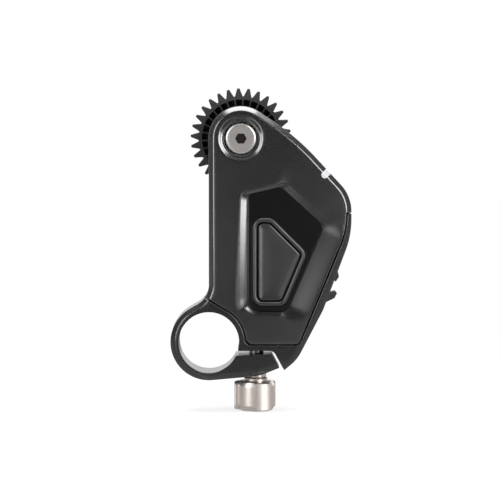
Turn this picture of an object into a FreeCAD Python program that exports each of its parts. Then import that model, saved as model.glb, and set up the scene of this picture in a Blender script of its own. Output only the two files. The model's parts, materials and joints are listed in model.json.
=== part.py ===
import FreeCAD, Part
import math
import os

# Follow focus drive unit for a 15 mm rod: a slim geared motor housing with a split rod clamp.
# Frame: origin on the rod axis in the middle of the clamp, +Y along the rod away from the front,
# +Z up the housing, +X to the right as seen from the front. Millimetres.

Vector = FreeCAD.Vector
alongY = Vector(0, 1, 0)
alongZ = Vector(0, 0, 1)

# rod clamp
rod_diameter = 15.0
rod_clearance = 0.05
clamp_wall = 2.05
clamp_length = 11.0
bore_chamfer = 0.15
slit_top_z = -2.1
slit_width = 1.15
slit_end_width = 0.8
slit_corner_x = 16.1
slit_corner_radius = 1.8
toe_tip_x = 18.8
toe_tip_z = -7.1
toe_gap = 0.8
jaw_tip_back = 1.1
jaw_knee_x = 12.5
jaw_knee_z = -8.54
jaw_knee_radius = 14.0

# housing silhouette
body_left_x = 0.0
body_right_x = 35.5
body_depth = 14.0
neck_z = 11.15
neck_radius = 5.5
head_x = 8.0
head_z = 50.7
head_radius = 8.0
brow_x = 21.5
brow_z = 51.5
brow_radius = 60.0
shoulder_z = 36.4
shoulder_radius = 9.7
hip_z = 26.6
hip_radius = 22.0
waist_x = 28.5
waist_z = 8.0
waist_radius = 10.0
heel_x = 22.03
heel_z = -4.42
heel_radius = 10.0

# how far two parts of one solid run into each other where they are joined
weld_lap = 0.2

# the offset kind that keeps a corner a corner
square_join = 2

# how far a box that cuts a whole side away reaches, more than the part's length
beyond = 100.0

# walls and joints between the shells
shell_wall = 1.25
edge_bevel = 1.2
seam_gap = 0.3
strip_width = 1.3
strip_top_z = 32.3
seam_hip_z = 28.0
seam_hip_radius = 18.4
seam_heel_x = 22.4
seam_collar = 0.35
seam_foot_z = -0.5
seam_foot_radius = 2.0
seam_corner_radius = 1.2
seam_start_x = -1.1
seam_start_z = 11.4
lip_gap = 0.1
mid_plate = 1.5
rear_plate = 1.5
rear_edge_chamfer = 0.7
rod_relief = 1.0
rear_foot_z = 0.6

# head recess and output shaft
shaft_radius = 2.5
cap_radius = 3.83
cap_thickness = 1.2
cap_recess = 0.5
cap_chamfer = 0.25
cap_gap = 0.42
dish_radius = 5.6
dish_depth = 0.55
rim_width = 0.22
hex_across = 2.5
hex_depth = 0.8
flat_width = 4.0
slip_fit = 0.02

# bearings
bearing_outer_radius = 5.0
bearing_width = 3.0
ball_radius = 0.7
ball_count = 9
race_grip = 0.7
front_bearing_set_back = 0.2
bearing_seat_wall = 1.2

# lens gear
lens_teeth = 30
lens_module = 0.8
lens_gap = 0.8
lens_width = 8.0
lens_phase = 92.9
lens_dedendum = 1.55
lens_backlash = 0.1
pocket_inner = 8.4
pocket_outer = 9.97
pocket_depth = 4.5
pocket_rib = 0.3
hub_land = 0.25
retainer_head_radius = 3.4
retainer_head_height = 1.6
retainer_thread_radius = 1.25
retainer_length = 6.0
retainer_round = 0.7

# reduction gears
train_module = 0.4
train_width = 1.6
train_step = 1.8
train_front_y = -0.45
train_backlash = 0.05
output_teeth = 29
wheel_2_teeth = 30
pinion_2_teeth = 17
wheel_1_teeth = 36
pinion_1_teeth = 12
motor_teeth = 10
stub_addendum = 0.8
stub_dedendum = 1.15
idler_2_angle = -80.0
idler_pin_radius = 0.75
plate_thickness = 1.2
plate_front_y = -2.6
plate_margin = 1.6
plate_clearance = 0.3
pillar_radius = 1.2
pillar_spots = ((3.4, 33.5), (16.8, 50.0), (25.2, 38.3))
pillar_screw_radius = 0.6
pillar_screw_head = 0.5

# motor
motor_x = 16.0
motor_z = 26.4
motor_radius = 8.0
motor_length = 9.0
motor_wall = 0.6
motor_boss_radius = 3.0
motor_shaft_radius = 0.75
magnet_thickness = 1.7
armature_gap = 0.5
end_cap_thickness = 1.0
motor_screw_circle = 5.5
motor_screw_radius = 0.8
motor_screw_head_radius = 1.45
motor_screw_head = 0.9
bulge_gap = 0.4
bulge_wall = 1.2
bulge_chamfer = 1.0

# button panel
panel_left_x = 9.7
panel_peak_x = 17.9
panel_peak_z = 38.7
panel_left_top_z = 36.8
panel_right_x = 28.75
panel_right_z = 28.95
panel_foot_x = 19.6
panel_foot_z = 7.6
panel_left_corner = 1.5
panel_peak_corner = 1.2
panel_right_corner = 1.5
panel_foot_corner = 2.5
panel_heel_corner = 3.3
panel_sink = 0.8
panel_thickness = 0.7
panel_fit = 0.05
panel_surround = 1.9
panel_step = 0.05
panel_backing = 0.6
backing_margin = 1.2
button_left_x = 12.3
button_top_z = 29.6
button_top_x = 15.2
button_right_x = 22.9
button_right_z = 21.9
button_foot_x = 18.1
button_foot_z = 10.4
button_corner = 1.2
button_gap = 0.35
bezel_width = 1.0
bezel_proud = 0.5
bezel_chamfer = 0.25
button_chamfer = 0.3
button_proud = 0.4
button_travel = 0.4
button_flange = 0.5
flange_thickness = 0.4
flange_gap = 0.1
stem_radius = 1.5

# circuit board and its parts
board_front_y = -0.8
board_thickness = 1.0
board_points = ((7.0, 10.6), (7.0, 29.6), (23.0, 29.6), (31.5, 31.0), (32.6, 27.6),
                (28.6, 18.0), (22.6, 17.0), (19.0, 6.6), (11.0, 6.6))
board_corner = 1.0
board_spots = ((8.9, 27.4), (26.5, 19.6), (12.2, 7.9))
board_post_radius = 1.4
board_screw_radius = 0.5
board_screw_head_radius = 1.0
board_screw_head = 0.5
board_screw_length = 2.6
switch_x = 16.0
switch_z = 20.0
switch_size = 5.2
switch_height = 0.9
plunger_radius = 1.2
plunger_fit = 0.1
plunger_travel_gap = 0.15

# socket in the right strip
port_angle = -12.0
port_width = 8.94
port_height = 3.26
port_depth = 7.35
port_wall = 0.25
port_gap = 0.15
port_set_back = 0.35
tongue_width = 6.7
tongue_thickness = 0.7
tongue_length = 5.0
port_base = 1.2

# status light at the brow
light_outer_x = 29.75
light_outer_z = 42.6
light_width = 1.7
light_length = 2.15
light_depth = 2.6

# cable clip on the right edge: corners as distance down the edge, distance out from it, radius
clip_top_z = 18.0
clip_depth = 4.0
clip_back_gap = 0.8
clip_length = 9.9
clip_upper_finger = ((1.75, 1.18, 0.5), (3.58, 0.85, 0.3), (2.89, 0.2, 0.0))
clip_lower_finger = ((4.27, 0.2, 0.0), (4.56, 0.4, 0.1), (5.94, 0.25, 0.12), (6.2, 0.72, 0.12),
                     (5.58, 1.5, 0.2), (5.79, 2.22, 0.3), (7.24, 2.07, 0.4), (8.98, 0.43, 0.5))

# housing screws
case_spots = ((4.2, 14.9), (21.2, 46.9), (31.0, 36.6), (25.0, 12.6))
case_boss_radius = 2.0
case_screw_radius = 1.0
case_screw_length = 8.0
case_head_radius = 1.9
case_head_height = 1.1
case_hex_across = 1.3
case_hex_depth = 0.7

# clamp thumbscrew
knob_x = 11.8
knob_top_z = -10.0
knob_height = 7.5
knob_radius = 5.5
knob_core_radius = 4.65
knob_lobes = 3
knob_lobe_angle = 54.0
knob_phase = -70.0
knob_corner = 0.5
knob_chamfer = 0.3
knob_collar_radius = 2.8
knob_collar_height = 0.3
washer_radius = 3.0
washer_thickness = 0.6
stud_radius = 2.0
stud_fit = 0.05
stud_depth = 5.2
stud_chamfer = 0.4
stud_top_z = 4.0
jaw_hole_clearance = 0.2
jaw_boss_radius = 2.6
thread_boss_wall = 2.0
thread_boss_top = 1.2

# places worked out from the driving sizes
ring_bore = rod_diameter / 2 + rod_clearance
ring_radius = ring_bore + clamp_wall
front_y = -clamp_length / 2
back_y = front_y + body_depth
rear_y = back_y - rear_plate
plate_y = rear_y - mid_plate
wall_y = front_y + shell_wall
cap_front_y = front_y + cap_recess
cap_back_y = cap_front_y + cap_thickness
front_bearing_y = cap_back_y + front_bearing_set_back
rear_bearing_y = rear_y - bearing_width
lens_y = back_y + lens_gap
lens_back_y = lens_y + lens_width
panel_floor_y = front_y + panel_sink + panel_thickness
backing_y = panel_floor_y + panel_backing
flange_y = backing_y + flange_gap
clip_front_y = rear_y - clip_back_gap - clip_depth
level_a = train_front_y
level_b = level_a + train_step
level_c = level_b + train_step
washer_top_z = knob_top_z + knob_collar_height + washer_thickness
board_back_y = board_front_y + board_thickness


def polar(centre_x, centre_z, radius, angle):
    """A point of a circle in the XZ plane, the angle in degrees from +X towards +Z."""
    turn = math.radians(angle)
    return (centre_x + radius * math.cos(turn), centre_z + radius * math.sin(turn))


def tangent_angle(point, centre, radius, side):
    """Where on a circle the tangent from a point touches; side is +1 or -1."""
    dx = point[0] - centre[0]
    dz = point[1] - centre[1]
    reach = math.hypot(dx, dz)
    return math.degrees(math.atan2(dz, dx)) + side * math.degrees(math.acos(radius / reach))


def bend(centre, radius, start, end):
    """An arc item of an outline, from one angle to another about its centre."""
    middle = (start + end) / 2
    return [polar(*centre, radius, angle) for angle in (start, middle, end)]


def crossing(p, p_way, q, q_way):
    """Where two lines cross, each given by a point and a direction."""
    cross = p_way[0] * q_way[1] - p_way[1] * q_way[0]
    along = ((q[0] - p[0]) * q_way[1] - (q[1] - p[1]) * q_way[0]) / cross
    return (p[0] + along * p_way[0], p[1] + along * p_way[1])


def rounded(before, corner, after):
    """The three points of the arc that rounds a corner (x, z, radius) between two neighbours."""
    x, z, radius = corner
    if radius == 0:
        return [(x, z)]
    back = (before[0] - x, before[1] - z)
    on = (after[0] - x, after[1] - z)
    back_length = math.hypot(*back)
    on_length = math.hypot(*on)
    back = (back[0] / back_length, back[1] / back_length)
    on = (on[0] / on_length, on[1] / on_length)
    half = math.acos(max(-1.0, min(1.0, back[0] * on[0] + back[1] * on[1]))) / 2
    reach = radius / math.tan(half)
    middle = (back[0] + on[0], back[1] + on[1])
    length = math.hypot(*middle)
    inward = radius / math.sin(half) - radius
    return [(x + back[0] * reach, z + back[1] * reach),
            (x + middle[0] / length * inward, z + middle[1] / length * inward),
            (x + on[0] * reach, z + on[1] * reach)]


def outline(items):
    """A closed wire at y = 0 from rounded corners (x, z, radius) and arc items."""
    def near_end(item):
        return item[0] if isinstance(item, list) else item

    def far_end(item):
        return item[-1] if isinstance(item, list) else item

    spans = []
    for index, item in enumerate(items):
        if isinstance(item, list):
            spans.append(item)
        else:
            before = far_end(items[index - 1])
            after = near_end(items[(index + 1) % len(items)])
            spans.append(rounded(before, item, after))
    edges = []
    for index, span in enumerate(spans):
        points = [Vector(x, 0, z) for x, z in span]
        if len(points) == 3:
            edges.append(Part.Arc(*points).toShape())
        following = spans[(index + 1) % len(spans)][0]
        following = Vector(following[0], 0, following[1])
        if points[-1].distanceToPoint(following) > 1e-6:
            edges.append(Part.LineSegment(points[-1], following).toShape())
    return Part.Wire(edges)


def plate(wire, y_from, y_to):
    """A flat piece of a wire's shape between two depths."""
    face = Part.Face(wire)
    face.translate(Vector(0, y_from, 0))
    return face.extrude(Vector(0, y_to - y_from, 0))


def rod(x, z, radius, y_from, y_to):
    """A round bar along Y."""
    return Part.makeCylinder(radius, y_to - y_from, Vector(x, y_from, z), alongY)


def tube(x, z, outer, inner, y_from, y_to):
    """A round tube along Y."""
    return rod(x, z, outer, y_from, y_to).cut(rod(x, z, inner, y_from, y_to))


def cone(x, z, front_radius, back_radius, y_from, y_to):
    """A round taper along Y."""
    return Part.makeCone(front_radius, back_radius, y_to - y_from, Vector(x, y_from, z), alongY)


def upright(x, y, radius, z_from, z_to):
    """A round bar along Z."""
    return Part.makeCylinder(radius, z_to - z_from, Vector(x, y, z_from), alongZ)


def fused(shapes):
    """One solid from shapes that join."""
    whole = shapes[0]
    for shape in shapes[1:]:
        whole = whole.fuse(shape)
    return whole.removeSplitter()


def unit_way(p, q):
    """The direction from one point to another."""
    length = math.dist(p, q)
    return ((q[0] - p[0]) / length, (q[1] - p[1]) / length)


def slope_way():
    """The direction of the lower right edge, from the hip down to the waist."""
    return unit_way((body_right_x, hip_z), (waist_x, waist_z))


def body_wire():
    """The silhouette of the housing with its clamp ring, clockwise from the neck."""
    head = (head_x, head_z)
    rod_axis = (0.0, 0.0)
    neck = (body_left_x, neck_z, neck_radius)
    knee = (jaw_knee_x, jaw_knee_z, jaw_knee_radius)
    brow_touch = tangent_angle((brow_x, brow_z), head, head_radius, 1)
    jaw_touch = tangent_angle(knee, rod_axis, ring_radius, -1)
    neck_touch = tangent_angle(neck, rod_axis, ring_radius, 1) - 360
    return outline([neck,
                    bend(head, head_radius, 180, brow_touch),
                    (brow_x, brow_z, brow_radius),
                    (body_right_x, shoulder_z, shoulder_radius),
                    (body_right_x, hip_z, hip_radius),
                    (waist_x, waist_z, waist_radius),
                    (heel_x, heel_z, heel_radius),
                    (toe_tip_x, toe_tip_z, 0),
                    (*jaw_tip(), 0),
                    knee,
                    bend(rod_axis, ring_radius, jaw_touch, neck_touch)])


def toe_way():
    """The direction of the toe's inner face, from the slit's corner down to the tip."""
    return unit_way((slit_corner_x, slit_top_z), (toe_tip_x, toe_tip_z))


def jaw_tip():
    """The tip of the jaw, across the slit from the toe tip."""
    way = toe_way()
    return (toe_tip_x + way[1] * toe_gap - way[0] * jaw_tip_back,
            toe_tip_z - way[0] * toe_gap - way[1] * jaw_tip_back)


def slit():
    """The gap that lets the jaw close, narrower away from the bore, then out between the two tips."""
    bore_side = ring_bore / 2
    way = toe_way()
    past = clamp_wall * 2
    toe_end = (toe_tip_x + way[0] * past, toe_tip_z + way[1] * past)
    climb = (slit_width - slit_end_width) / (slit_corner_x - ring_bore)
    low_z = slit_top_z - slit_width - climb * (ring_bore - bore_side)
    across = (way[1] * toe_gap, -way[0] * toe_gap)
    inner = crossing((bore_side, low_z), (1, climb), (toe_tip_x + across[0], toe_tip_z + across[1]), way)
    wire = outline([(bore_side, slit_top_z, 0),
                    (slit_corner_x, slit_top_z, slit_corner_radius),
                    (*toe_end, 0),
                    (toe_end[0] + across[0], toe_end[1] + across[1], 0),
                    (*inner, slit_width / 4),
                    (bore_side, low_z, 0)])
    return plate(wire, front_y - 1, back_y)


def seam_wire(grow):
    """The front cover's share of the front, running past the silhouette; grow widens it."""
    axis = (0.0, 0.0)
    collar = ring_radius - seam_collar - grow
    start = (seam_start_x, seam_start_z)
    touch = tangent_angle(start, axis, ring_radius - seam_collar, -1)
    line_way = (-math.sin(math.radians(touch)), math.cos(math.radians(touch)))
    touch_point = polar(*axis, collar, touch)
    outside = body_right_x - body_left_x
    left_end = (touch_point[0] + line_way[0] * outside / 2, touch_point[1] + line_way[1] * outside / 2)
    foot_z = seam_foot_z - grow
    foot_radius = seam_foot_radius - grow
    foot_centre_z = foot_z + foot_radius
    foot_centre_x = math.sqrt((collar + foot_radius) ** 2 - foot_centre_z ** 2)
    foot_touch = math.degrees(math.atan2(foot_centre_z, foot_centre_x))
    side_x = body_right_x - strip_width
    way = unit_way((side_x, seam_hip_z), (seam_heel_x, seam_foot_z))
    edge_point = (side_x - way[1] * grow, seam_hip_z + way[0] * grow)
    hip = crossing(edge_point, way, (side_x + grow, 0), (0, 1))
    foot_corner = crossing(edge_point, way, (0, foot_z), (1, 0))
    top = head_z + outside
    right = body_right_x + outside
    strip_top = strip_top_z - grow
    return outline([(*left_end, 0),
                    (left_end[0], top, 0),
                    (right, top, 0),
                    (right, strip_top, 0),
                    (side_x + grow, strip_top, seam_gap),
                    (*hip, seam_hip_radius + grow),
                    (*foot_corner, seam_corner_radius + grow),
                    bend((foot_centre_x, foot_centre_z), foot_radius, -90, foot_touch - 180),
                    bend(axis, collar, foot_touch, touch)])


def front_edges(shape, y):
    """The edges of a shape that lie flat in the plane at a depth."""
    return [edge for edge in shape.Edges
            if abs(edge.BoundBox.YMin - y) < 1e-4 and abs(edge.BoundBox.YMax - y) < 1e-4]


def bevelled_block():
    """The whole front half of the housing with its bevelled front edge."""
    outer = body_wire()
    inner = outer.makeOffset2D(-edge_bevel, square_join)
    outer.translate(Vector(0, front_y + edge_bevel, 0))
    inner.translate(Vector(0, front_y, 0))
    bevel = Part.makeLoft([inner, outer], True, True)
    return fused([bevel, plate(body_wire(), front_y + edge_bevel, plate_y)])


def clamp_bore():
    """The hole for the rod, with a small chamfer at each face."""
    past = clamp_length
    bore = rod(0, 0, ring_bore, front_y - past, plate_y + past)
    mouth = ring_bore + bore_chamfer
    front = cone(0, 0, mouth, ring_bore, front_y, front_y + bore_chamfer)
    back = cone(0, 0, ring_bore, mouth, plate_y - bore_chamfer, plate_y)
    return fused([bore, front, back])


def back_plate(y_from, y_to):
    """The silhouette without the clamp ring, as used behind the clamp."""
    whole = plate(body_wire(), y_from, y_to)
    depth = y_to - y_from
    below = Part.makeBox(2 * beyond, depth, beyond, Vector(-beyond, y_from, rear_foot_z - beyond))
    relief = rod(0, 0, ring_radius + rod_relief, y_from, y_to)
    left = Part.makeBox(beyond, depth, 2 * beyond, Vector(body_left_x - beyond, y_from, -beyond))
    return whole.cut(below).cut(relief).cut(left)


def hexagon(x, z, across_flats, y_from, y_to):
    """A hexagonal prism along Y."""
    corner = across_flats / math.sqrt(3)
    points = [(*polar(x, z, corner, 60 * step), 0) for step in range(6)]
    return plate(outline(points), y_from, y_to)


def involute(angle):
    return math.tan(angle) - angle


def gear_wire(teeth, module, tip_radius, root_radius, phase, backlash):
    """A spur gear outline about the origin with involute flanks of 20 degrees."""
    pitch_radius = teeth * module / 2
    pressure = math.radians(20)
    base_radius = pitch_radius * math.cos(pressure)
    start_radius = max(base_radius, root_radius)
    half_pitch = math.pi / (2 * teeth) - backlash / (2 * pitch_radius) + involute(pressure)

    def half_angle(radius):
        return half_pitch - involute(math.acos(min(1.0, base_radius / radius)))

    middle_radius = (start_radius + tip_radius) / 2
    flank = [(radius, math.degrees(half_angle(radius)))
             for radius in (start_radius, middle_radius, tip_radius)]
    edges = []
    for tooth in range(teeth):
        centre = phase + 360 * tooth / teeth
        after = centre + 360 / teeth
        rising = [polar(0, 0, radius, centre - angle) for radius, angle in flank]
        falling = [polar(0, 0, radius, centre + angle) for radius, angle in reversed(flank)]
        crest = [rising[2], polar(0, 0, tip_radius, centre), falling[0]]
        foot_angle = flank[0][1]
        root = [polar(0, 0, root_radius, angle)
                for angle in (centre + foot_angle, (centre + after) / 2, after - foot_angle)]
        for span in (rising, crest, falling, root):
            edges.append(Part.Arc(*[Vector(x, 0, z) for x, z in span]).toShape())
        if start_radius > root_radius + 1e-6:
            ends = ((polar(0, 0, start_radius, centre + foot_angle), root[0]),
                    (root[2], polar(0, 0, start_radius, after - foot_angle)))
            for p, q in ends:
                edges.append(Part.LineSegment(Vector(p[0], 0, p[1]), Vector(q[0], 0, q[1])).toShape())
    return Part.Wire(Part.__sortEdges__(edges))


def train_gear(teeth, x, z, y_from, phase):
    """A gear of the reduction train in its place."""
    pitch_radius = teeth * train_module / 2
    tip_radius = pitch_radius + train_module * stub_addendum
    root_radius = pitch_radius - train_module * stub_dedendum
    wire = gear_wire(teeth, train_module, tip_radius, root_radius, phase, train_backlash)
    gear = plate(wire, y_from, y_from + train_width)
    gear.translate(Vector(x, 0, z))
    return gear


def train_places():
    """The axes of the two idlers, from the gear sizes and the motor's place."""
    reach_2 = (output_teeth + pinion_2_teeth) * train_module / 2
    reach_1 = (wheel_2_teeth + pinion_1_teeth) * train_module / 2
    reach_0 = (wheel_1_teeth + motor_teeth) * train_module / 2
    idler_2 = polar(head_x, head_z, reach_2, idler_2_angle)
    dx = motor_x - idler_2[0]
    dz = motor_z - idler_2[1]
    span = math.hypot(dx, dz)
    along = (span ** 2 + reach_1 ** 2 - reach_0 ** 2) / (2 * span)
    aside = math.sqrt(reach_1 ** 2 - along ** 2)
    idler_1 = (idler_2[0] + dx / span * along - dz / span * aside,
               idler_2[1] + dz / span * along + dx / span * aside)
    return idler_1, idler_2


def heading(p, q):
    return math.degrees(math.atan2(q[1] - p[1], q[0] - p[0]))


idler_1, idler_2 = train_places()
head_heading = heading((head_x, head_z), idler_2)
middle_heading = heading(idler_2, idler_1)
motor_heading = heading(idler_1, (motor_x, motor_z))


def panel_wire(grow=0.0):
    wire = outline([(panel_left_x, panel_left_top_z, panel_left_corner),
                    (panel_peak_x, panel_peak_z, panel_peak_corner),
                    (panel_right_x, panel_right_z, panel_right_corner),
                    (panel_foot_x, panel_foot_z, panel_foot_corner),
                    (panel_left_x, panel_foot_z, panel_heel_corner)])
    return wire.makeOffset2D(grow) if grow else wire


def panel_funnel():
    """The space over the panel's sloping surround."""
    high = panel_wire(panel_fit + panel_surround)
    low = panel_wire(panel_fit)
    high.translate(Vector(0, front_y, 0))
    low.translate(Vector(0, front_y + panel_sink - panel_step, 0))
    return Part.makeLoft([high, low], True, True)


def button_wire(grow=0.0):
    wire = outline([(button_left_x, button_top_z, button_corner),
                    (button_top_x, button_top_z, button_corner),
                    (button_right_x, button_right_z, button_corner),
                    (button_foot_x, button_foot_z, button_corner),
                    (button_left_x, button_foot_z, button_corner)])
    return wire.makeOffset2D(grow) if grow else wire


def light_slot(y_from, y_to, grow=0.0):
    """The slot at the brow edge, square to the edge and round at its inner end."""
    edge = (body_right_x - brow_x, shoulder_z - brow_z)
    edge_length = math.hypot(*edge)
    way = (-edge[1] / edge_length, edge[0] / edge_length)
    side = (-way[1], way[0])
    half = light_width / 2 + grow
    past = light_width
    corners = []
    for along, across in ((past, half), (past, -half), (-light_length - grow, -half),
                          (-light_length - grow, half)):
        corners.append((light_outer_x + way[0] * along + side[0] * across,
                        light_outer_z + way[1] * along + side[1] * across,
                        0 if along == past else half - slip_fit))
    return plate(outline(corners), y_from, y_to)


def port_frame(shape):
    """Moves a shape from the port's own axes (opening towards +X) into the right strip."""
    arc_x = body_right_x - hip_radius
    hip_half = math.radians(90 - math.degrees(math.atan2(-slope_way()[1], -slope_way()[0]))) / 2
    arc_z = hip_z + hip_radius * math.tan(hip_half)
    mouth = polar(arc_x, arc_z, hip_radius, port_angle)
    moved = shape.copy()
    moved.rotate(Vector(0, 0, 0), alongY, -port_angle)
    moved.translate(Vector(mouth[0], board_back_y + port_height / 2, mouth[1]))
    return moved


def port_block(width, height, x_from, x_to):
    """A bar along X with a stadium section, the port's section."""
    radius = height / 2
    half = width / 2 - radius
    middle = Part.makeBox(x_to - x_from, height, half * 2, Vector(x_from, -radius, -half))
    ends = [Part.makeCylinder(radius, x_to - x_from, Vector(x_from, 0, side), Vector(1, 0, 0))
            for side in (-half, half)]
    return fused([middle] + ends)


def collar_lip():
    """The shelf behind the front cover that closes the seam round the clamp."""
    inner = plate(body_wire().makeOffset2D(-shell_wall - slip_fit), backing_y + lip_gap, plate_y)
    reach = ring_radius + rod_relief + weld_lap
    foot_z = rear_foot_z + weld_lap
    below = Part.makeBox(2 * beyond, plate_y - front_y, beyond, Vector(-beyond, front_y, foot_z - beyond))
    return inner.common(fused([rod(0, 0, reach, front_y, plate_y), below]))


def chassis():
    """The clamp ring, toe, right strip and middle plate in one piece."""
    front = bevelled_block().cut(plate(seam_wire(seam_gap), front_y - 1, plate_y + 1))
    middle = back_plate(plate_y, rear_y)
    seat = rod(head_x, head_z, bearing_outer_radius + bearing_seat_wall, rear_bearing_y, rear_y)
    boss_radius = stud_radius + thread_boss_wall
    boss = upright(knob_x, 0, boss_radius, slit_top_z, stud_top_z + thread_boss_top)
    boss_back = Part.makeBox(boss_radius * 2, plate_y, stud_top_z + thread_boss_top - slit_top_z,
                             Vector(knob_x - boss_radius, 0, slit_top_z))
    pillars = [rod(x, z, pillar_radius, plate_front_y + plate_thickness, plate_y)
               for x, z in pillar_spots]
    jaw_boss = upright(knob_x, 0, jaw_boss_radius, washer_top_z, jaw_knee_z + clamp_wall)
    whole = fused([front, middle, collar_lip(), seat, boss, boss_back, jaw_boss] + pillars)
    whole = whole.cut(clamp_bore()).cut(slit())
    whole = whole.cut(rod(head_x, head_z, bearing_outer_radius, rear_bearing_y, rear_y))
    whole = whole.cut(upright(knob_x, 0, stud_radius + stud_fit, slit_top_z - slit_width / 2,
                              stud_top_z + stud_fit))
    whole = whole.cut(upright(knob_x, 0, stud_radius + jaw_hole_clearance, washer_top_z - 1,
                              slit_top_z - slit_width / 2))
    whole = whole.cut(rod(motor_x, motor_z, motor_boss_radius + slip_fit, plate_y, rear_y))
    for x, z in case_spots:
        whole = whole.cut(rod(x, z, case_screw_radius, plate_y, rear_y))
    for x, z in (idler_1, idler_2):
        whole = whole.cut(rod(x, z, idler_pin_radius, plate_y, rear_y))
    for x, z in motor_screw_places():
        whole = whole.cut(rod(x, z, motor_screw_radius, plate_y, rear_y))
    for x, z in pillar_spots:
        whole = whole.cut(rod(x, z, pillar_screw_radius, plate_front_y, plate_y - 1))
    opening = port_block(port_width + 2 * port_gap, port_height + 2 * port_gap,
                         -port_depth / 2, port_depth)
    return whole.cut(port_frame(opening))


def front_cover():
    """The front shell with the head recess, the panel pocket and the screw bosses."""
    share = bevelled_block().common(plate(seam_wire(0), front_y - 1, plate_y + 1))
    cavity = plate(body_wire().makeOffset2D(-shell_wall), wall_y, plate_y + 1)
    shell = share.cut(cavity)
    backing = plate(panel_wire(backing_margin), wall_y - weld_lap, backing_y)
    backing = backing.common(plate(seam_wire(-seam_gap), front_y, plate_y))
    bosses = [rod(x, z, case_boss_radius, wall_y - weld_lap, plate_y) for x, z in case_spots]
    posts = [rod(x, z, board_post_radius, wall_y - weld_lap, board_front_y) for x, z in board_spots]
    seat = rod(head_x, head_z, bearing_outer_radius + bearing_seat_wall, wall_y - weld_lap,
               front_bearing_y + bearing_width / 2)
    shell = fused([shell, backing, seat] + bosses + posts)
    pocket = plate(panel_wire(panel_fit), front_y - 1, panel_floor_y)
    shell = shell.cut(pocket)
    shell = shell.cut(panel_funnel())
    hole_radius = cap_radius + cap_gap
    dish = cone(head_x, head_z, dish_radius, hole_radius + rim_width, front_y, front_y + dish_depth)
    hole = rod(head_x, head_z, hole_radius, front_y - 1, front_bearing_y)
    bearing = rod(head_x, head_z, bearing_outer_radius, front_bearing_y, front_bearing_y + bearing_width)
    shell = shell.cut(dish).cut(hole).cut(bearing)
    shell = shell.cut(plate(button_wire(button_gap), front_y, backing_y + 1))
    shell = shell.cut(light_slot(front_y - 1, front_y + light_depth))
    for x, z in case_spots:
        shell = shell.cut(rod(x, z, case_screw_radius, back_y - case_screw_length, plate_y))
    for x, z in board_spots:
        shell = shell.cut(rod(x, z, board_screw_radius, board_back_y - board_screw_length,
                              board_front_y))
    return shell


def rear_cover():
    """The back plate with the round housing of the motor."""
    base = back_plate(rear_y, back_y)
    base = base.makeChamfer(rear_edge_chamfer, front_edges(base, back_y))
    inner = motor_radius + bulge_gap
    outer = inner + bulge_wall
    inner_back = rear_y + motor_length + bulge_gap
    outer_back = inner_back + bulge_wall
    dome = rod(motor_x, motor_z, outer, back_y - rear_edge_chamfer, outer_back)
    dome = dome.makeChamfer(bulge_chamfer, front_edges(dome, outer_back))
    whole = fused([base, dome]).cut(rod(motor_x, motor_z, inner, rear_y, inner_back))
    whole = whole.cut(rod(head_x, head_z, shaft_radius + cap_gap, rear_y, back_y))
    for x, z in case_spots:
        whole = whole.cut(rod(x, z, case_screw_radius + slip_fit, rear_y, back_y))
        head = cone(x, z, case_screw_radius, case_head_radius, back_y - case_head_height, back_y)
        whole = whole.cut(head)
    return whole


def case_screws():
    """Countersunk screws that hold both covers to the chassis."""
    screws = []
    for x, z in case_spots:
        shank = rod(x, z, case_screw_radius - slip_fit, back_y - case_screw_length, back_y)
        head = cone(x, z, case_screw_radius, case_head_radius, back_y - case_head_height, back_y)
        socket = hexagon(x, z, case_hex_across, back_y - case_hex_depth, back_y)
        screws.append(fused([shank, head]).cut(socket))
    return Part.makeCompound(screws)


def motor_screw_places():
    return [polar(motor_x, motor_z, motor_screw_circle, angle) for angle in (15, 195)]


def button_panel():
    panel = plate(panel_wire(), front_y + panel_sink, panel_floor_y)
    return panel.cut(plate(button_wire(button_gap + bezel_width + slip_fit), front_y, panel_floor_y))


def button_bezel():
    front = front_y + panel_sink - bezel_proud
    ring = plate(button_wire(button_gap + bezel_width), front, panel_floor_y)
    ring = ring.makeChamfer(bezel_chamfer, front_edges(ring, front))
    return ring.cut(plate(button_wire(button_gap), front, panel_floor_y))


def button_cap():
    """The key with the flange that keeps it in and the stem over the switch."""
    front = front_y + panel_sink - button_proud
    key = plate(button_wire(), front, flange_y)
    key = key.makeChamfer(button_chamfer, front_edges(key, front))
    flange = plate(button_wire(button_gap + button_flange), flange_y, flange_y + flange_thickness)
    stem = rod(switch_x, switch_z, stem_radius, flange_y, plunger_front_y())
    return fused([key, flange, stem])


def plunger_front_y():
    return board_front_y - switch_height - button_travel - plunger_travel_gap


def button_switch():
    half = switch_size / 2
    body = Part.makeBox(switch_size, switch_height, switch_size,
                        Vector(switch_x - half, board_front_y - switch_height, switch_z - half))
    return body.cut(rod(switch_x, switch_z, plunger_radius + plunger_fit, board_front_y - switch_height,
                        board_front_y - plunger_travel_gap / 2))


def switch_plunger():
    return rod(switch_x, switch_z, plunger_radius, plunger_front_y(),
               board_front_y - button_travel - plunger_travel_gap)


def status_light():
    """The clear light guide, flush with the front and the bevel."""
    guide = light_slot(front_y - 1, front_y + light_depth)
    return bevelled_block().common(guide)


def circuit_board():
    board = plate(outline([(x, z, board_corner) for x, z in board_points]), board_front_y, board_back_y)
    for x, z in board_spots:
        board = board.cut(rod(x, z, board_screw_radius + slip_fit, board_front_y, board_back_y))
    return board


def board_screws():
    screws = []
    for x, z in board_spots:
        shank = rod(x, z, board_screw_radius - slip_fit, board_back_y - board_screw_length, board_back_y)
        head = rod(x, z, board_screw_head_radius, board_back_y, board_back_y + board_screw_head)
        screws.append(fused([shank, head]))
    return Part.makeCompound(screws)


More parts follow.
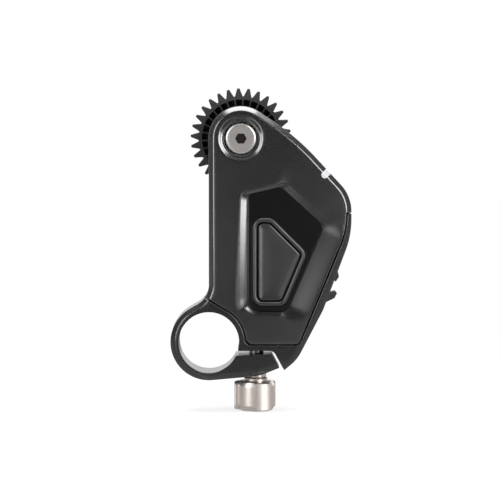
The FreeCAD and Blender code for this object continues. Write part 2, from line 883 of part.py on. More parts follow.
def port_shell():
    outer = port_block(port_width, port_height, -port_depth - port_set_back, -port_set_back)
    inner = port_block(port_width - 2 * port_wall, port_height - 2 * port_wall,
                       -port_depth - port_set_back, -port_set_back)
    return port_frame(outer.cut(inner))


def port_tongue():
    back = -port_depth - port_set_back
    base = port_block(port_width - 2 * port_wall, port_height - 2 * port_wall, back, back + port_base)
    tongue = Part.makeBox(tongue_length + port_base, tongue_thickness, tongue_width,
                          Vector(back, -tongue_thickness / 2, -tongue_width / 2))
    return port_frame(fused([base, tongue]))


def cable_clip():
    """The two-fingered clip for the lead, against the outside of the right strip."""
    way = slope_way()
    along = (clip_top_z - hip_z) / way[1]
    top = (body_right_x + way[0] * along, clip_top_z)

    def place(corner):
        down, out, radius = corner
        return (top[0] + way[0] * down - way[1] * out, top[1] + way[1] * down + way[0] * out, radius)

    corners = [(0, 0, 0), *clip_upper_finger, *clip_lower_finger, (clip_length, 0, 0)]
    return plate(outline([place(corner) for corner in corners]), clip_front_y, clip_front_y + clip_depth)


def gear_plate():
    """The front bridge that carries the idler pins, on the three pillars."""
    places = [idler_1, idler_2] + list(pillar_spots)
    centre_x = sum(x for x, z in places) / len(places)
    centre_z = sum(z for x, z in places) / len(places)
    order = sorted(places, key=lambda place: -heading((centre_x, centre_z), place))
    hull = [place for place in order if place != idler_2 and place != idler_1]
    wire = outline([(x, z, 0) for x, z in hull]).makeOffset2D(plate_margin)
    bridge = plate(wire, plate_front_y, plate_front_y + plate_thickness)
    for x, z in (idler_1, idler_2):
        pad = rod(x, z, plate_margin, plate_front_y, plate_front_y + plate_thickness)
        bridge = bridge.fuse(pad)
    bridge = bridge.removeSplitter()
    for x, z in (idler_1, idler_2):
        bridge = bridge.cut(rod(x, z, idler_pin_radius, plate_front_y, plate_front_y + plate_thickness))
    for x, z in pillar_spots:
        bridge = bridge.cut(rod(x, z, pillar_screw_radius + slip_fit, plate_front_y,
                                plate_front_y + plate_thickness))
    keep_out = [(x, z, case_boss_radius) for x, z in case_spots]
    keep_out.append((head_x, head_z, bearing_outer_radius + bearing_seat_wall))
    for x, z, radius in keep_out:
        bridge = bridge.cut(rod(x, z, radius + plate_clearance, plate_front_y,
                                plate_front_y + plate_thickness))
    return bridge


def plate_screws():
    screws = []
    for x, z in pillar_spots:
        shank = rod(x, z, pillar_screw_radius - slip_fit, plate_front_y, plate_y - 2)
        head = rod(x, z, pillar_radius, plate_front_y - pillar_screw_head, plate_front_y)
        screws.append(fused([shank, head]))
    return Part.makeCompound(screws)


def idler_pins():
    pins = [rod(x, z, idler_pin_radius, plate_front_y, rear_y) for x, z in (idler_1, idler_2)]
    return Part.makeCompound(pins)


def output_gear():
    gear = train_gear(output_teeth, head_x, head_z, level_a, head_heading)
    return gear.cut(rod(head_x, head_z, shaft_radius, level_a, level_a + train_width))


def idler_cluster(place, wheel_teeth, wheel_y, wheel_phase, small_teeth, small_y, small_phase):
    """A wheel and a pinion in one piece, turning on a pin."""
    wheel = train_gear(wheel_teeth, *place, wheel_y, wheel_phase)
    small = train_gear(small_teeth, *place, small_y, small_phase)
    low = min(wheel_y, small_y)
    high = max(wheel_y, small_y) + train_width
    neck = rod(*place, small_teeth * train_module / 2 - train_module * stub_dedendum, low, high)
    return fused([wheel, small, neck]).cut(rod(*place, idler_pin_radius + slip_fit, low, high))


def idler_wheel_2():
    small_phase = head_heading + 180 + 180 / pinion_2_teeth
    return idler_cluster(idler_2, wheel_2_teeth, level_b, middle_heading,
                         pinion_2_teeth, level_a, small_phase)


def idler_wheel_1():
    small_phase = middle_heading + 180 + 180 / pinion_1_teeth
    return idler_cluster(idler_1, wheel_1_teeth, level_c, motor_heading,
                         pinion_1_teeth, level_b, small_phase)


def motor_pinion():
    gear = train_gear(motor_teeth, motor_x, motor_z, level_c, motor_heading + 180 + 180 / motor_teeth)
    return gear.cut(rod(motor_x, motor_z, motor_shaft_radius, level_c, level_c + train_width))


def motor_back_y():
    return rear_y + motor_length


def motor_shaft():
    return rod(motor_x, motor_z, motor_shaft_radius, level_c, motor_back_y() - end_cap_thickness / 2)


def motor_armature():
    front = rear_y + motor_wall + armature_gap
    back = motor_back_y() - end_cap_thickness - armature_gap
    radius = motor_radius - motor_wall - magnet_thickness - armature_gap
    return tube(motor_x, motor_z, radius, motor_shaft_radius, front, back)


def motor_magnet():
    front = rear_y + motor_wall + armature_gap
    back = motor_back_y() - end_cap_thickness - armature_gap
    outer = motor_radius - motor_wall
    return tube(motor_x, motor_z, outer, outer - magnet_thickness, front, back)


def motor_can():
    can = rod(motor_x, motor_z, motor_radius, rear_y, motor_back_y())
    boss = rod(motor_x, motor_z, motor_boss_radius, plate_y, rear_y)
    can = fused([can, boss])
    can = can.cut(rod(motor_x, motor_z, motor_radius - motor_wall, rear_y + motor_wall, motor_back_y()))
    can = can.cut(rod(motor_x, motor_z, motor_shaft_radius + slip_fit, plate_y, rear_y + motor_wall))
    for x, z in motor_screw_places():
        can = can.cut(rod(x, z, motor_screw_radius, rear_y, rear_y + motor_wall))
    return can


def motor_end_cap():
    front = motor_back_y() - end_cap_thickness
    cap = rod(motor_x, motor_z, motor_radius - motor_wall, front, motor_back_y())
    pocket_back = motor_back_y() - end_cap_thickness / 2 + slip_fit
    return cap.cut(rod(motor_x, motor_z, motor_shaft_radius + slip_fit, front, pocket_back))


def motor_screws():
    screws = []
    for x, z in motor_screw_places():
        shank = rod(x, z, motor_screw_radius - slip_fit, plate_y - weld_lap, rear_y + motor_wall)
        head = rod(x, z, motor_screw_head_radius, plate_y - motor_screw_head, plate_y)
        screws.append(fused([shank, head]))
    return Part.makeCompound(screws)


def bearing_starts():
    return (front_bearing_y, rear_bearing_y)


def ball_circle():
    return (bearing_outer_radius + shaft_radius) / 2


def ball_places():
    places = []
    for start in bearing_starts():
        for step in range(ball_count):
            x, z = polar(head_x, head_z, ball_circle(), 360 * step / ball_count)
            places.append(Vector(x, start + bearing_width / 2, z))
    return places


def groove(start):
    """The ball track of a bearing, a little larger than the balls."""
    ring = Part.makeTorus(ball_circle(), ball_radius + slip_fit,
                          Vector(head_x, start + bearing_width / 2, head_z), alongY)
    return ring


def race_shift():
    """How far each race stands off the middle of the balls."""
    return ball_radius * race_grip


def bearing_outer_rings():
    rings = []
    for start in bearing_starts():
        inner = ball_circle() + race_shift()
        ring = tube(head_x, head_z, bearing_outer_radius, inner, start, start + bearing_width)
        rings.append(ring.cut(groove(start)))
    return Part.makeCompound(rings)


def bearing_inner_rings():
    rings = []
    for start in bearing_starts():
        outer = ball_circle() - race_shift()
        ring = tube(head_x, head_z, outer, shaft_radius, start, start + bearing_width)
        rings.append(ring.cut(groove(start)))
    return Part.makeCompound(rings)


def bearing_balls():
    return Part.makeCompound([Part.makeSphere(ball_radius, place) for place in ball_places()])


def flats(y_from, y_to, fit):
    """The double flat section at the gear end of the shaft."""
    bar = rod(head_x, head_z, shaft_radius + fit, y_from, y_to)
    half = flat_width / 2 + fit
    slab = Part.makeBox(shaft_radius * 4, y_to - y_from, half * 2,
                        Vector(head_x - shaft_radius * 2, y_from, head_z - half))
    return bar.common(slab)


def output_shaft():
    round_part = rod(head_x, head_z, shaft_radius, cap_back_y, lens_y)
    driven = flats(lens_y, lens_back_y - hub_land, 0)
    shaft = fused([round_part, driven])
    thread = rod(head_x, head_z, retainer_thread_radius, lens_back_y - retainer_length, lens_back_y)
    return shaft.cut(thread)


def shaft_cap():
    """The bright end cap of the shaft with its hexagon socket."""
    cap = rod(head_x, head_z, cap_radius, cap_front_y, cap_back_y)
    cap = cap.makeChamfer(cap_chamfer, front_edges(cap, cap_front_y))
    return cap.cut(hexagon(head_x, head_z, hex_across, cap_front_y, cap_front_y + hex_depth))


def lens_gear():
    """The 0.8 module gear that drives the lens ring, with its ring of light pockets."""
    pitch_radius = lens_teeth * lens_module / 2
    wire = gear_wire(lens_teeth, lens_module, pitch_radius + lens_module,
                     pitch_radius - lens_dedendum * lens_module, lens_phase, lens_backlash)
    gear = plate(wire, lens_y, lens_back_y)
    gear.translate(Vector(head_x, 0, head_z))
    pockets = tube(head_x, head_z, pocket_outer, pocket_inner, lens_y, lens_y + pocket_depth)
    for step in range(lens_teeth):
        rib = Part.makeBox(pocket_outer, pocket_depth, pocket_rib, Vector(0, lens_y, -pocket_rib / 2))
        gap_angle = lens_phase + 360 * (step + 1 / 2) / lens_teeth
        rib.rotate(Vector(0, 0, 0), alongY, -gap_angle)
        rib.translate(Vector(head_x, 0, head_z))
        pockets = pockets.cut(rib)
    return gear.cut(pockets).cut(flats(lens_y, lens_back_y, slip_fit))


def gear_screw():
    """The button head screw and its flange that hold the lens gear on the shaft."""
    shank = rod(head_x, head_z, retainer_thread_radius - slip_fit,
                lens_back_y - retainer_length, lens_back_y)
    back = lens_back_y + retainer_head_height
    head = rod(head_x, head_z, retainer_head_radius, lens_back_y, back)
    head = head.makeFillet(retainer_round, front_edges(head, back))
    return fused([shank, head]).cut(hexagon(head_x, head_z, hex_across, back - hex_depth, back))


def knob_section():
    """The three-lobed outline of the thumbscrew, seen from above."""
    shapes = [upright(knob_x, 0, knob_core_radius, knob_top_z - knob_height, knob_top_z)]
    half = knob_lobe_angle / 2
    for step in range(knob_lobes):
        centre = knob_phase + 360 * step / knob_lobes
        wedge = [Vector(knob_x, 0, 0)]
        for angle in (centre - half, centre, centre + half):
            turn = math.radians(angle)
            reach = knob_radius * 2
            wedge.append(Vector(knob_x + reach * math.cos(turn), reach * math.sin(turn), 0))
        face = Part.Face(Part.makePolygon(wedge + [wedge[0]]))
        face.translate(Vector(0, 0, knob_top_z - knob_height))
        sector = face.extrude(Vector(0, 0, knob_height))
        full = upright(knob_x, 0, knob_radius, knob_top_z - knob_height, knob_top_z)
        shapes.append(full.common(sector))
    return fused(shapes)


def clamp_knob():
    """The thumbscrew grip with three raised pads."""
    grip = knob_section()
    middle_radius = (knob_radius + knob_core_radius) / 2
    corners = [edge for edge in grip.Edges
               if edge.BoundBox.ZLength > knob_height / 2
               and math.hypot(edge.CenterOfMass.x - knob_x, edge.CenterOfMass.y) > middle_radius]
    grip = grip.makeFillet(knob_corner, corners)
    rims = [edge for edge in grip.Edges if edge.BoundBox.ZLength < 1e-4]
    grip = grip.makeChamfer(knob_chamfer, rims)
    collar = upright(knob_x, 0, knob_collar_radius, knob_top_z, knob_top_z + knob_collar_height)
    grip = fused([grip, collar])
    return grip.cut(upright(knob_x, 0, stud_radius, knob_top_z - stud_depth,
                            knob_top_z + knob_collar_height))


def clamp_stud():
    """The threaded stud of the thumbscrew, fixed in the grip."""
    stud = upright(knob_x, 0, stud_radius, knob_top_z - stud_depth, stud_top_z - stud_radius)
    tip = upright(knob_x, 0, stud_radius, stud_top_z - stud_radius, stud_top_z)
    end = [edge for edge in tip.Edges if edge.BoundBox.ZMin > stud_top_z - stud_chamfer]
    return fused([stud, tip.makeChamfer(stud_chamfer, end)])


def clamp_washer():
    ring = upright(knob_x, 0, washer_radius, washer_top_z - washer_thickness, washer_top_z)
    return ring.cut(upright(knob_x, 0, stud_radius + stud_fit, washer_top_z - washer_thickness,
                            washer_top_z))


nodes = {
    "chassis": chassis,
    "front_cover": front_cover,
    "rear_cover": rear_cover,
    "case_screws": case_screws,
    "button_panel": button_panel,
    "button_bezel": button_bezel,
    "button_cap": button_cap,
    "button_switch": button_switch,
    "switch_plunger": switch_plunger,
    "status_light": status_light,
    "circuit_board": circuit_board,
    "board_screws": board_screws,
    "port_shell": port_shell,
    "port_tongue": port_tongue,
    "cable_clip": cable_clip,
    "gear_plate": gear_plate,
    "plate_screws": plate_screws,
    "idler_pins": idler_pins,
    "output_gear": output_gear,
    "idler_wheel_1": idler_wheel_1,
    "idler_wheel_2": idler_wheel_2,
    "motor_pinion": motor_pinion,
    "motor_shaft": motor_shaft,
    "motor_armature": motor_armature,
    "motor_magnet": motor_magnet,
    "motor_can": motor_can,
    "motor_end_cap": motor_end_cap,
    "motor_screws": motor_screws,
    "bearing_outer_rings": bearing_outer_rings,
    "bearing_inner_rings": bearing_inner_rings,
    "bearing_balls": bearing_balls,
    "output_shaft": output_shaft,
    "shaft_cap": shaft_cap,
    "lens_gear": lens_gear,
    "gear_screw": gear_screw,
    "clamp_knob": clamp_knob,
    "clamp_stud": clamp_stud,
    "clamp_washer": clamp_washer,
}

os.makedirs("parts", exist_ok=True)
for name, make in nodes.items():
    shape = make()
    bounds = shape.BoundBox
    print(name, len(shape.Solids), shape.isValid(), round(shape.Volume, 2),
          [round(value, 2) for value in (bounds.XMin, bounds.XMax, bounds.YMin, bounds.YMax,
                                         bounds.ZMin, bounds.ZMax)])
    shape.exportStep("parts/" + name + ".step")
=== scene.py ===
import json
from math import acos, asin, atan2, ceil, cos, degrees, dist, hypot, pi, radians, sin, sqrt, tan
import bpy
import numpy as np
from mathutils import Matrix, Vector, geometry


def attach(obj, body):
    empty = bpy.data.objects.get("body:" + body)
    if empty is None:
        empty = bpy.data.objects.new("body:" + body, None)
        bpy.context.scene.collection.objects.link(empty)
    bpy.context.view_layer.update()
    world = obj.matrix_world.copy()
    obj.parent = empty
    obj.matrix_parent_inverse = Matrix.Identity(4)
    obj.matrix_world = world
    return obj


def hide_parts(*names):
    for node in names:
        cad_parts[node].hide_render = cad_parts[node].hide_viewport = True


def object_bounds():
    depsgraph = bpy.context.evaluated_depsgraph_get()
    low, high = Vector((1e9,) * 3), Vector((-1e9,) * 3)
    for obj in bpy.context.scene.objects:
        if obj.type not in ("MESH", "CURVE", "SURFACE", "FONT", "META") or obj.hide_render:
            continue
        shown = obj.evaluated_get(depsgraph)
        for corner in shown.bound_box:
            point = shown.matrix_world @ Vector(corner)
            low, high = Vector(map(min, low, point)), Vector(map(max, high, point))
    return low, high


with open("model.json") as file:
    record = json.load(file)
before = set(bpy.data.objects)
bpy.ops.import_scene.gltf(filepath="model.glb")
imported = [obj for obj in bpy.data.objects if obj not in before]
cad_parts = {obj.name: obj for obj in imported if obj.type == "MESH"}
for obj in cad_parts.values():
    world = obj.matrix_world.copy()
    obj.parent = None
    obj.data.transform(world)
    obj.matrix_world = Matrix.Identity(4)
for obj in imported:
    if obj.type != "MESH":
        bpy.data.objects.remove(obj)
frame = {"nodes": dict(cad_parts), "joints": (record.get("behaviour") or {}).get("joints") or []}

cadLow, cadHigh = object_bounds()
mm = 0.001
scene = bpy.context.scene
joints = {joint["name"]: joint for joint in frame["joints"]}
headX, _, headZ = [place / mm for place in joints["output_spin"]["pos_m"]]
knobX = joints["clamp_turn"]["pos_m"][0] / mm
head = (headX, headZ)
rodAxis = (0.0, 0.0)
# edges that turn by more degrees than this stay sharp
sharpAngle = 32

# outlines lie in the plane of the front, in millimetres: x to the right, z up
# chunk is how many points are measured at a time, keptShare how much of its distance an offset
# point keeps if it hasn't crossed over, and rowShare the spacing of a field's rows to its points
outlines = {"samePoint": 1e-4, "tiny": 1e-12, "chunk": 2000, "keptShare": 0.985, "rowShare": 0.866}
# a plate's least cell and least step, and the row behind a front edge that keeps the rounding there
layout = {"merge": 1e-5, "sliver": 1e-5, "digits": 4, "leastStep": 1e-6, "edgeGuard": 0.12, "wallGap": 0.0001}


def arcPoints(centre, radius, start, end, step):
    count = max(2, ceil(abs(radians(end - start)) * radius / step))
    turns = np.radians(np.linspace(start, end, count + 1))
    return [(centre[0] + radius * cos(t), centre[1] + radius * sin(t)) for t in turns]


def roundCorner(before, corner, after, step):
    x, z, radius = corner
    if radius == 0:
        return [(x, z)]
    back = np.array(before[:2]) - (x, z)
    on = np.array(after[:2]) - (x, z)
    back /= np.linalg.norm(back)
    on /= np.linalg.norm(on)
    half = acos(max(-1.0, min(1.0, float(back @ on)))) / 2
    middle = (back + on) / np.linalg.norm(back + on)
    centre = np.array((x, z)) + middle * radius / sin(half)
    first = np.array((x, z)) + back * radius / tan(half)
    start = degrees(atan2(first[1] - centre[1], first[0] - centre[0]))
    sweep = 180 - degrees(2 * half)
    side = 1 if back[0] * on[1] - back[1] * on[0] < 0 else -1
    return arcPoints(centre, radius, start, start + side * sweep, step)


def loopPoints(items, step=0.35):
    # corners are (x, z, radius), and arcs are lists of points; straight runs are divided too
    spans = []
    for i, item in enumerate(items):
        if isinstance(item, list):
            spans.append(item)
            continue
        before = items[i - 1]
        after = items[(i + 1) % len(items)]
        before = before[-1] if isinstance(before, list) else before
        after = after[0] if isinstance(after, list) else after
        spans.append(roundCorner(before, item, after, step))
    points = []
    for i, span in enumerate(spans):
        points += span
        a, b = np.array(span[-1]), np.array(spans[(i + 1) % len(spans)][0])
        count = ceil(np.linalg.norm(b - a) / (step * 2))
        points += [tuple(a + (b - a) * k / count) for k in range(1, count)]
    kept = [p for i, p in enumerate(points) if dist(p, points[i - 1]) > outlines["samePoint"]]
    return np.array(kept)


def circle(centre, radius, step=0.35):
    return np.array(arcPoints(centre, radius, 0, 360, step)[:-1])


def tangentAngle(point, centre, radius, side):
    dx, dz = point[0] - centre[0], point[1] - centre[1]
    return degrees(atan2(dz, dx)) + side * degrees(acos(radius / hypot(dx, dz)))


def crossing(p, pWay, q, qWay):
    cross = pWay[0] * qWay[1] - pWay[1] * qWay[0]
    along = ((q[0] - p[0]) * qWay[1] - (q[1] - p[1]) * qWay[0]) / cross
    return (p[0] + along * pWay[0], p[1] + along * pWay[1])


def fromLoop(points, loop):
    # distance from a closed loop to each point, and the angle it lies at, in degrees
    points = np.asarray(points, float)
    a, b = loop, np.roll(loop, -1, axis=0)
    way = b - a
    long = np.maximum((way ** 2).sum(1), outlines["tiny"])
    chunk = outlines["chunk"]
    nearest, turn = np.empty(len(points)), np.empty(len(points))
    for k in range(0, len(points), chunk):
        off = points[k:k + chunk, None, :] - a[None]
        t = np.clip((off * way[None]).sum(2) / long, 0, 1)
        gap = off - t[..., None] * way[None]
        size = (gap ** 2).sum(2)
        best = size.argmin(1)
        row = np.arange(len(best))
        nearest[k:k + chunk] = np.sqrt(size[row, best])
        turn[k:k + chunk] = np.degrees(np.arctan2(gap[row, best, 1], gap[row, best, 0]))
    return nearest, turn


def toLoop(points, loop):
    return fromLoop(points, loop)[0]


def inLoop(points, loop):
    points = np.asarray(points, float)
    a, b = loop, np.roll(loop, -1, axis=0)
    inside = np.empty(len(points), bool)
    chunk = outlines["chunk"]
    for k in range(0, len(points), chunk):
        x, z = points[k:k + chunk, 0:1], points[k:k + chunk, 1:2]
        spans = (a[None, :, 1] > z) != (b[None, :, 1] > z)
        rise = np.where(b[:, 1] == a[:, 1], outlines["tiny"], b[:, 1] - a[:, 1])
        cross = a[None, :, 0] + (z - a[None, :, 1]) / rise[None] * (b - a)[None, :, 0]
        inside[k:k + chunk] = (spans & (x < cross)).sum(1) % 2 == 1
    return inside


def offsetLoop(loop, distance):
    # a loop moved sideways, outwards for a positive distance, and which of its points can be used
    nextLoop = np.roll(loop, -1, axis=0)
    on = nextLoop - np.roll(loop, 1, axis=0)
    long = np.maximum(np.linalg.norm(on, axis=1), outlines["tiny"])
    normal = np.stack((on[:, 1], -on[:, 0]), 1) / long[:, None]
    area = (loop[:, 0] * nextLoop[:, 1] - loop[:, 1] * nextLoop[:, 0]).sum()
    moved = loop + normal * distance * (1 if area > 0 else -1)
    return moved, toLoop(moved, loop) > abs(distance) * outlines["keptShare"]


def rings(loop, distances):
    return [offsetLoop(loop, distance) for distance in distances]


def closedCurves(*loops):
    return [(loop, np.ones(len(loop), bool)) for loop in loops]


def fieldIn(loop, low, high, spacing, gap):
    # an even field of points inside a loop and away from its edge, from a rectangle round it
    rows = []
    for j, z in enumerate(np.arange(low[1], high[1], spacing * outlines["rowShare"])):
        shift = spacing / 2 if j % 2 else 0
        rows += [(x + shift, z) for x in np.arange(low[0], high[0], spacing)]
    field = np.array(rows)
    return field[inLoop(field, loop) & (toLoop(field, loop) > gap)]


def within(*loops, without=()):
    # tells which points lie in all of some loops and in none of others
    return lambda points: np.all([inLoop(points, loop) for loop in loops]
                                 + [~inLoop(points, loop) for loop in without], axis=0)


def radii(points, centre=rodAxis):
    return np.hypot(points[:, 0] - centre[0], points[:, 1] - centre[1])


def rise(value, low, high):
    t = np.clip((value - low) / (high - low), 0, 1)
    return t * t * (3 - 2 * t)


def levelAt(depth):
    # a surface that lies at one depth
    return lambda points: np.full(len(points), depth)


def carve(name, curves, inside, front, back, field=(), step=None, backDrop=None, openEdge=None):
    # a solid plate: the plane is cut along the curves, the cells inside are kept, and each cell
    # gets a front surface, walls where cells end or their depths differ, and a back
    points, edges = [], []
    for loop, good in curves:
        start = len(points)
        points += [tuple(p) for p in loop]
        count = len(loop)
        edges += [(start + i, start + (i + 1) % count) for i in range(count)
                  if good[i] and good[(i + 1) % count]]
    used = sorted({i for edge in edges for i in edge})
    order = {old: new for new, old in enumerate(used)}
    points = [points[i] for i in used]
    edges = [(order[a], order[b]) for a, b in edges]
    points += [tuple(p) for p in field]
    made = geometry.delaunay_2d_cdt([Vector(p) for p in points], edges, [], 0, layout["merge"])
    flat, _, cells = made[:3]
    flat = np.array([(p.x, p.y) for p in flat])
    cells = np.array([c for c in cells if len(c) == 3])
    middle = flat[cells].mean(1)
    area = np.cross(flat[cells[:, 1]] - flat[cells[:, 0]], flat[cells[:, 2]] - flat[cells[:, 0]])
    keep = inside(middle) & (np.abs(area) > layout["sliver"])
    cells, middle, area = cells[keep], middle[keep], area[keep]
    cells[area < 0] = cells[area < 0][:, ::-1]
    steps = np.round(step(middle), layout["digits"]) if step else np.zeros(len(cells))
    backs = np.round(back(middle), layout["digits"])
    frontY = front(flat)
    drop = backDrop(flat) if backDrop else np.zeros(len(flat))
    verts, index, faces, walls, levels = [], {}, [], [], {}

    def depth(i, level, isBack):
        return level - drop[i] if isBack else frontY[i] + level

    def vert(i, level, isBack):
        key = (i, float(level), isBack)
        if key not in index:
            index[key] = len(verts)
            verts.append((flat[i][0] * mm, depth(*key) * mm, flat[i][1] * mm))
        return index[key]

    def wall(a, b, *ends):
        walls.append((a, b, ends[0], ends[-1]))
        for i in (a, b):
            levels.setdefault(i, set()).update((float(level), isBack) for level, isBack in ends)

    def column(i, top, bottom):
        # the points down a wall's end, with those where neighbouring walls begin or end
        high, low = depth(i, *top), depth(i, *bottom)
        gap = layout["wallGap"]
        between = [key for key in levels[i] if high + gap < depth(i, *key) < low - gap]
        return [vert(i, *key) for key in (top, *sorted(between, key=lambda key: depth(i, *key)), bottom)]

    owner = {}
    for c, (i, j, k) in enumerate(cells):
        for a, b in ((i, j), (j, k), (k, i)):
            owner[(a, b)] = c
    for c, (i, j, k) in enumerate(cells):
        faces.append([vert(n, steps[c], False) for n in (i, j, k)])
        faces.append([vert(n, backs[c], True) for n in (k, j, i)])
        for a, b in ((i, j), (j, k), (k, i)):
            other = owner.get((b, a))
            if other is None:
                if openEdge is not None and openEdge(flat[a], flat[b]):
                    continue
                guard = (steps[c] + layout["edgeGuard"], False)
                wall(a, b, (steps[c], False), guard, (backs[c], True))
                continue
            if steps[other] > steps[c] + layout["leastStep"]:
                wall(a, b, (steps[c], False), (steps[other], False))
            if backs[other] < backs[c] - layout["leastStep"]:
                wall(a, b, (backs[other], True), (backs[c], True))
    for a, b, top, bottom in walls:
        left, right = column(a, top, bottom), column(b, top, bottom)
        if len(left) == len(right):
            faces += [[left[k], left[k + 1], right[k + 1], right[k]] for k in range(len(left) - 1)]
        else:
            faces.append(left + right[::-1])
    return meshPiece(name, verts, faces)


def meshPiece(name, verts, faces, smooth=sharpAngle):
    mesh = bpy.data.meshes.new(name)
    mesh.from_pydata(verts, [], faces)
    mesh.validate()
    mesh.shade_smooth()
    mesh.set_sharp_from_angle(angle=radians(smooth))
    piece = bpy.data.objects.new(name, mesh)
    scene.collection.objects.link(piece)
    return piece


def applyModifier(piece, modifier):
    bpy.context.view_layer.update()
    mesh = bpy.data.meshes.new_from_object(piece.evaluated_get(bpy.context.evaluated_depsgraph_get()))
    mesh.shade_smooth()
    mesh.set_sharp_from_angle(angle=radians(sharpAngle))
    piece.modifiers.remove(modifier)
    piece.data = mesh


def turned(name, rows, turns, smooth=sharpAngle, closed=False):
    # a piece round the knob's axis from rows of (radius, z), where a radius may differ at each turn;
    # the outside runs down, and the last row meets the first or each end gets a flat face
    angles = [2 * pi * k / turns for k in range(turns)]
    verts, faces = [], []
    for radius, z in rows:
        verts += [((knobX + r * cos(t)) * mm, r * sin(t) * mm, z * mm)
                  for r, t in zip(np.broadcast_to(radius, turns), angles)]
    for j in range(len(rows) if closed else len(rows) - 1):
        high, low = j * turns, (j + 1) % len(rows) * turns
        for k in range(turns):
            n = (k + 1) % turns
            faces.append((high + k, low + k, low + n, high + n))
    if not closed:
        faces += [range(turns), range(len(verts) - 1, len(verts) - turns - 1, -1)]
    return meshPiece(name, verts, faces, smooth)


class Value:
    # a node's socket; the loop below lets it be added, multiplied and so on, from either side
    def __init__(self, socket, kit):
        self.socket = socket
        self.kit = kit


for word, kind in (("add", "ADD"), ("sub", "SUBTRACT"), ("mul", "MULTIPLY"), ("truediv", "DIVIDE"),
                   ("pow", "POWER")):
    setattr(Value, f"__{word}__", lambda self, other, kind=kind: self.kit.maths(kind, self, other))
    setattr(Value, f"__r{word}__", lambda self, other, kind=kind: self.kit.maths(kind, other, self))


class Nodes:
    # builds nodes in a tree
    def __init__(self, tree):
        self.tree = tree

    def plug(self, socket, value):
        if isinstance(value, Value):
            self.tree.links.new(value.socket, socket)
        else:
            socket.default_value = value

    def node(self, kind, sockets=None, settings=None, output=0):
        made = self.tree.nodes.new(kind)
        for key, value in (settings or {}).items():
            setattr(made, key, value)
        for key, value in (sockets or {}).items():
            self.plug(made.inputs[key], value)
        return Value(made.outputs[output], self)

    def maths(self, operation, first, second):
        return self.node("ShaderNodeMath", {0: first, 1: second}, {"operation": operation})

    def axes(self, coords):
        made = self.tree.nodes.new("ShaderNodeSeparateXYZ")
        self.plug(made.inputs[0], coords)
        return [Value(output, self) for output in made.outputs]

    def ramp(self, value, span, low=0.0, high=1.0):
        # a soft change from low to high while the value crosses the span
        return self.node("ShaderNodeMapRange", {
            "Value": value, "From Min": span[0], "From Max": span[1], "To Min": low, "To Max": high},
            {"interpolation_type": "SMOOTHSTEP"})


class Shader(Nodes):
    def __init__(self, name, color, roughness, metallic=0.0):
        self.material = bpy.data.materials.new(name)
        self.material.use_nodes = True
        self.material.diffuse_color = (*color, 1)
        super().__init__(self.material.node_tree)
        self.surface = self.tree.nodes["Principled BSDF"]
        self.set("Base Color", (*color, 1))
        self.set("Roughness", roughness)
        self.set("Metallic", metallic)
        self.coords = self.node("ShaderNodeTexCoord", output="Object")

    def set(self, name, value):
        self.plug(self.surface.inputs[name], value)

    def noise(self, scale, detail, coords=None):
        return self.node("ShaderNodeTexNoise", {
            "Vector": coords or self.coords, "Scale": scale, "Detail": detail})

    def blend(self, mask, low, high):
        made = self.tree.nodes.new("ShaderNodeMix")
        made.data_type = "RGBA"
        for key, value in (("Factor", mask), ("A", low), ("B", high)):
            self.plug(made.inputs[key], (*value, 1) if isinstance(value, (tuple, list)) else value)
        return Value(made.outputs["Result"], self)

    def vary(self, color, rough, fine, clouds, gloss, cloudGloss):
        # a roughness that the fine noise and the clouds change about a middle value
        self.set("Roughness", fine * gloss + clouds * cloudGloss + (rough - (gloss + cloudGloss) / 2))
        self.set("Base Color", color)

    def bump(self, height, distance, strength=1.0):
        self.set("Normal", self.node("ShaderNodeBump", {
            "Height": height, "Distance": distance, "Strength": strength}))


# what every finish shares: how far the clouds change tone and gloss, and the noises' detail
clouding = {
    "tone": 0.06, "plasticGloss": 0.06, "metalGloss": 0.08, "lines": (0.92, 1.05),
    "fineDetail": 3.0, "cloudDetail": 2.0,
}


def grainPlastic(name, color, rough, grain, shine=0.5, crown=None, bend=1.5):
    # moulded plastic: fine spark grain, faint cloudiness in tone and in gloss, and a faintly crowned face
    shader = Shader(name, color, rough)
    shader.set("Specular IOR Level", shine)
    shader.set("IOR", bend)
    fine = shader.noise(grain["scale"], clouding["fineDetail"])
    clouds = shader.noise(grain["clouds"], clouding["cloudDetail"])
    shade = [[c * (1 + side * clouding["tone"]) for c in color] for side in (-1, 1)]
    shader.vary(shader.blend(clouds, *shade), rough, fine, clouds, grain["gloss"], clouding["plasticGloss"])
    height = fine * grain["depth"]
    if crown:
        x, _, z = shader.axes(shader.coords)
        across = (x - crown["middle"][0]) / crown["reach"][0]
        along = (z - crown["middle"][1]) / crown["reach"][1]
        height = height - across * across * crown["rise"][0] - along * along * crown["rise"][1]
    shader.bump(height, 1.0)
    return shader


def turnedMetal(name, color, rough, lathed, centre=None, axis="y"):
    # metal with fine turning rings about an axis, or with lines that are stretched along one
    shader = Shader(name, color, rough, 1.0)
    if centre is None:
        place = shader.node("ShaderNodeMapping", {"Vector": shader.coords, "Scale": lathed["stretch"]})
    else:
        x, y, z = shader.axes(shader.coords)
        side, height = (z, y) if axis == "y" else (y, z)
        dx, ds = x - centre[0], side - centre[1]
        radius = (dx * dx + ds * ds) ** 0.5
        place = shader.node("ShaderNodeCombineXYZ", {
            "X": radius * lathed["rings"], "Y": height * lathed["rings"]})
    lines = shader.noise(1.0, clouding["fineDetail"], place)
    clouds = shader.noise(lathed["clouds"], clouding["cloudDetail"])
    shade = [[min(1, c * share) for c in color] for share in clouding["lines"]]
    shader.vary(shader.blend(lines, *shade), rough, lines, clouds, lathed["gloss"], clouding["metalGloss"])
    shader.bump(lines, lathed["depth"], lathed["strength"])
    return shader


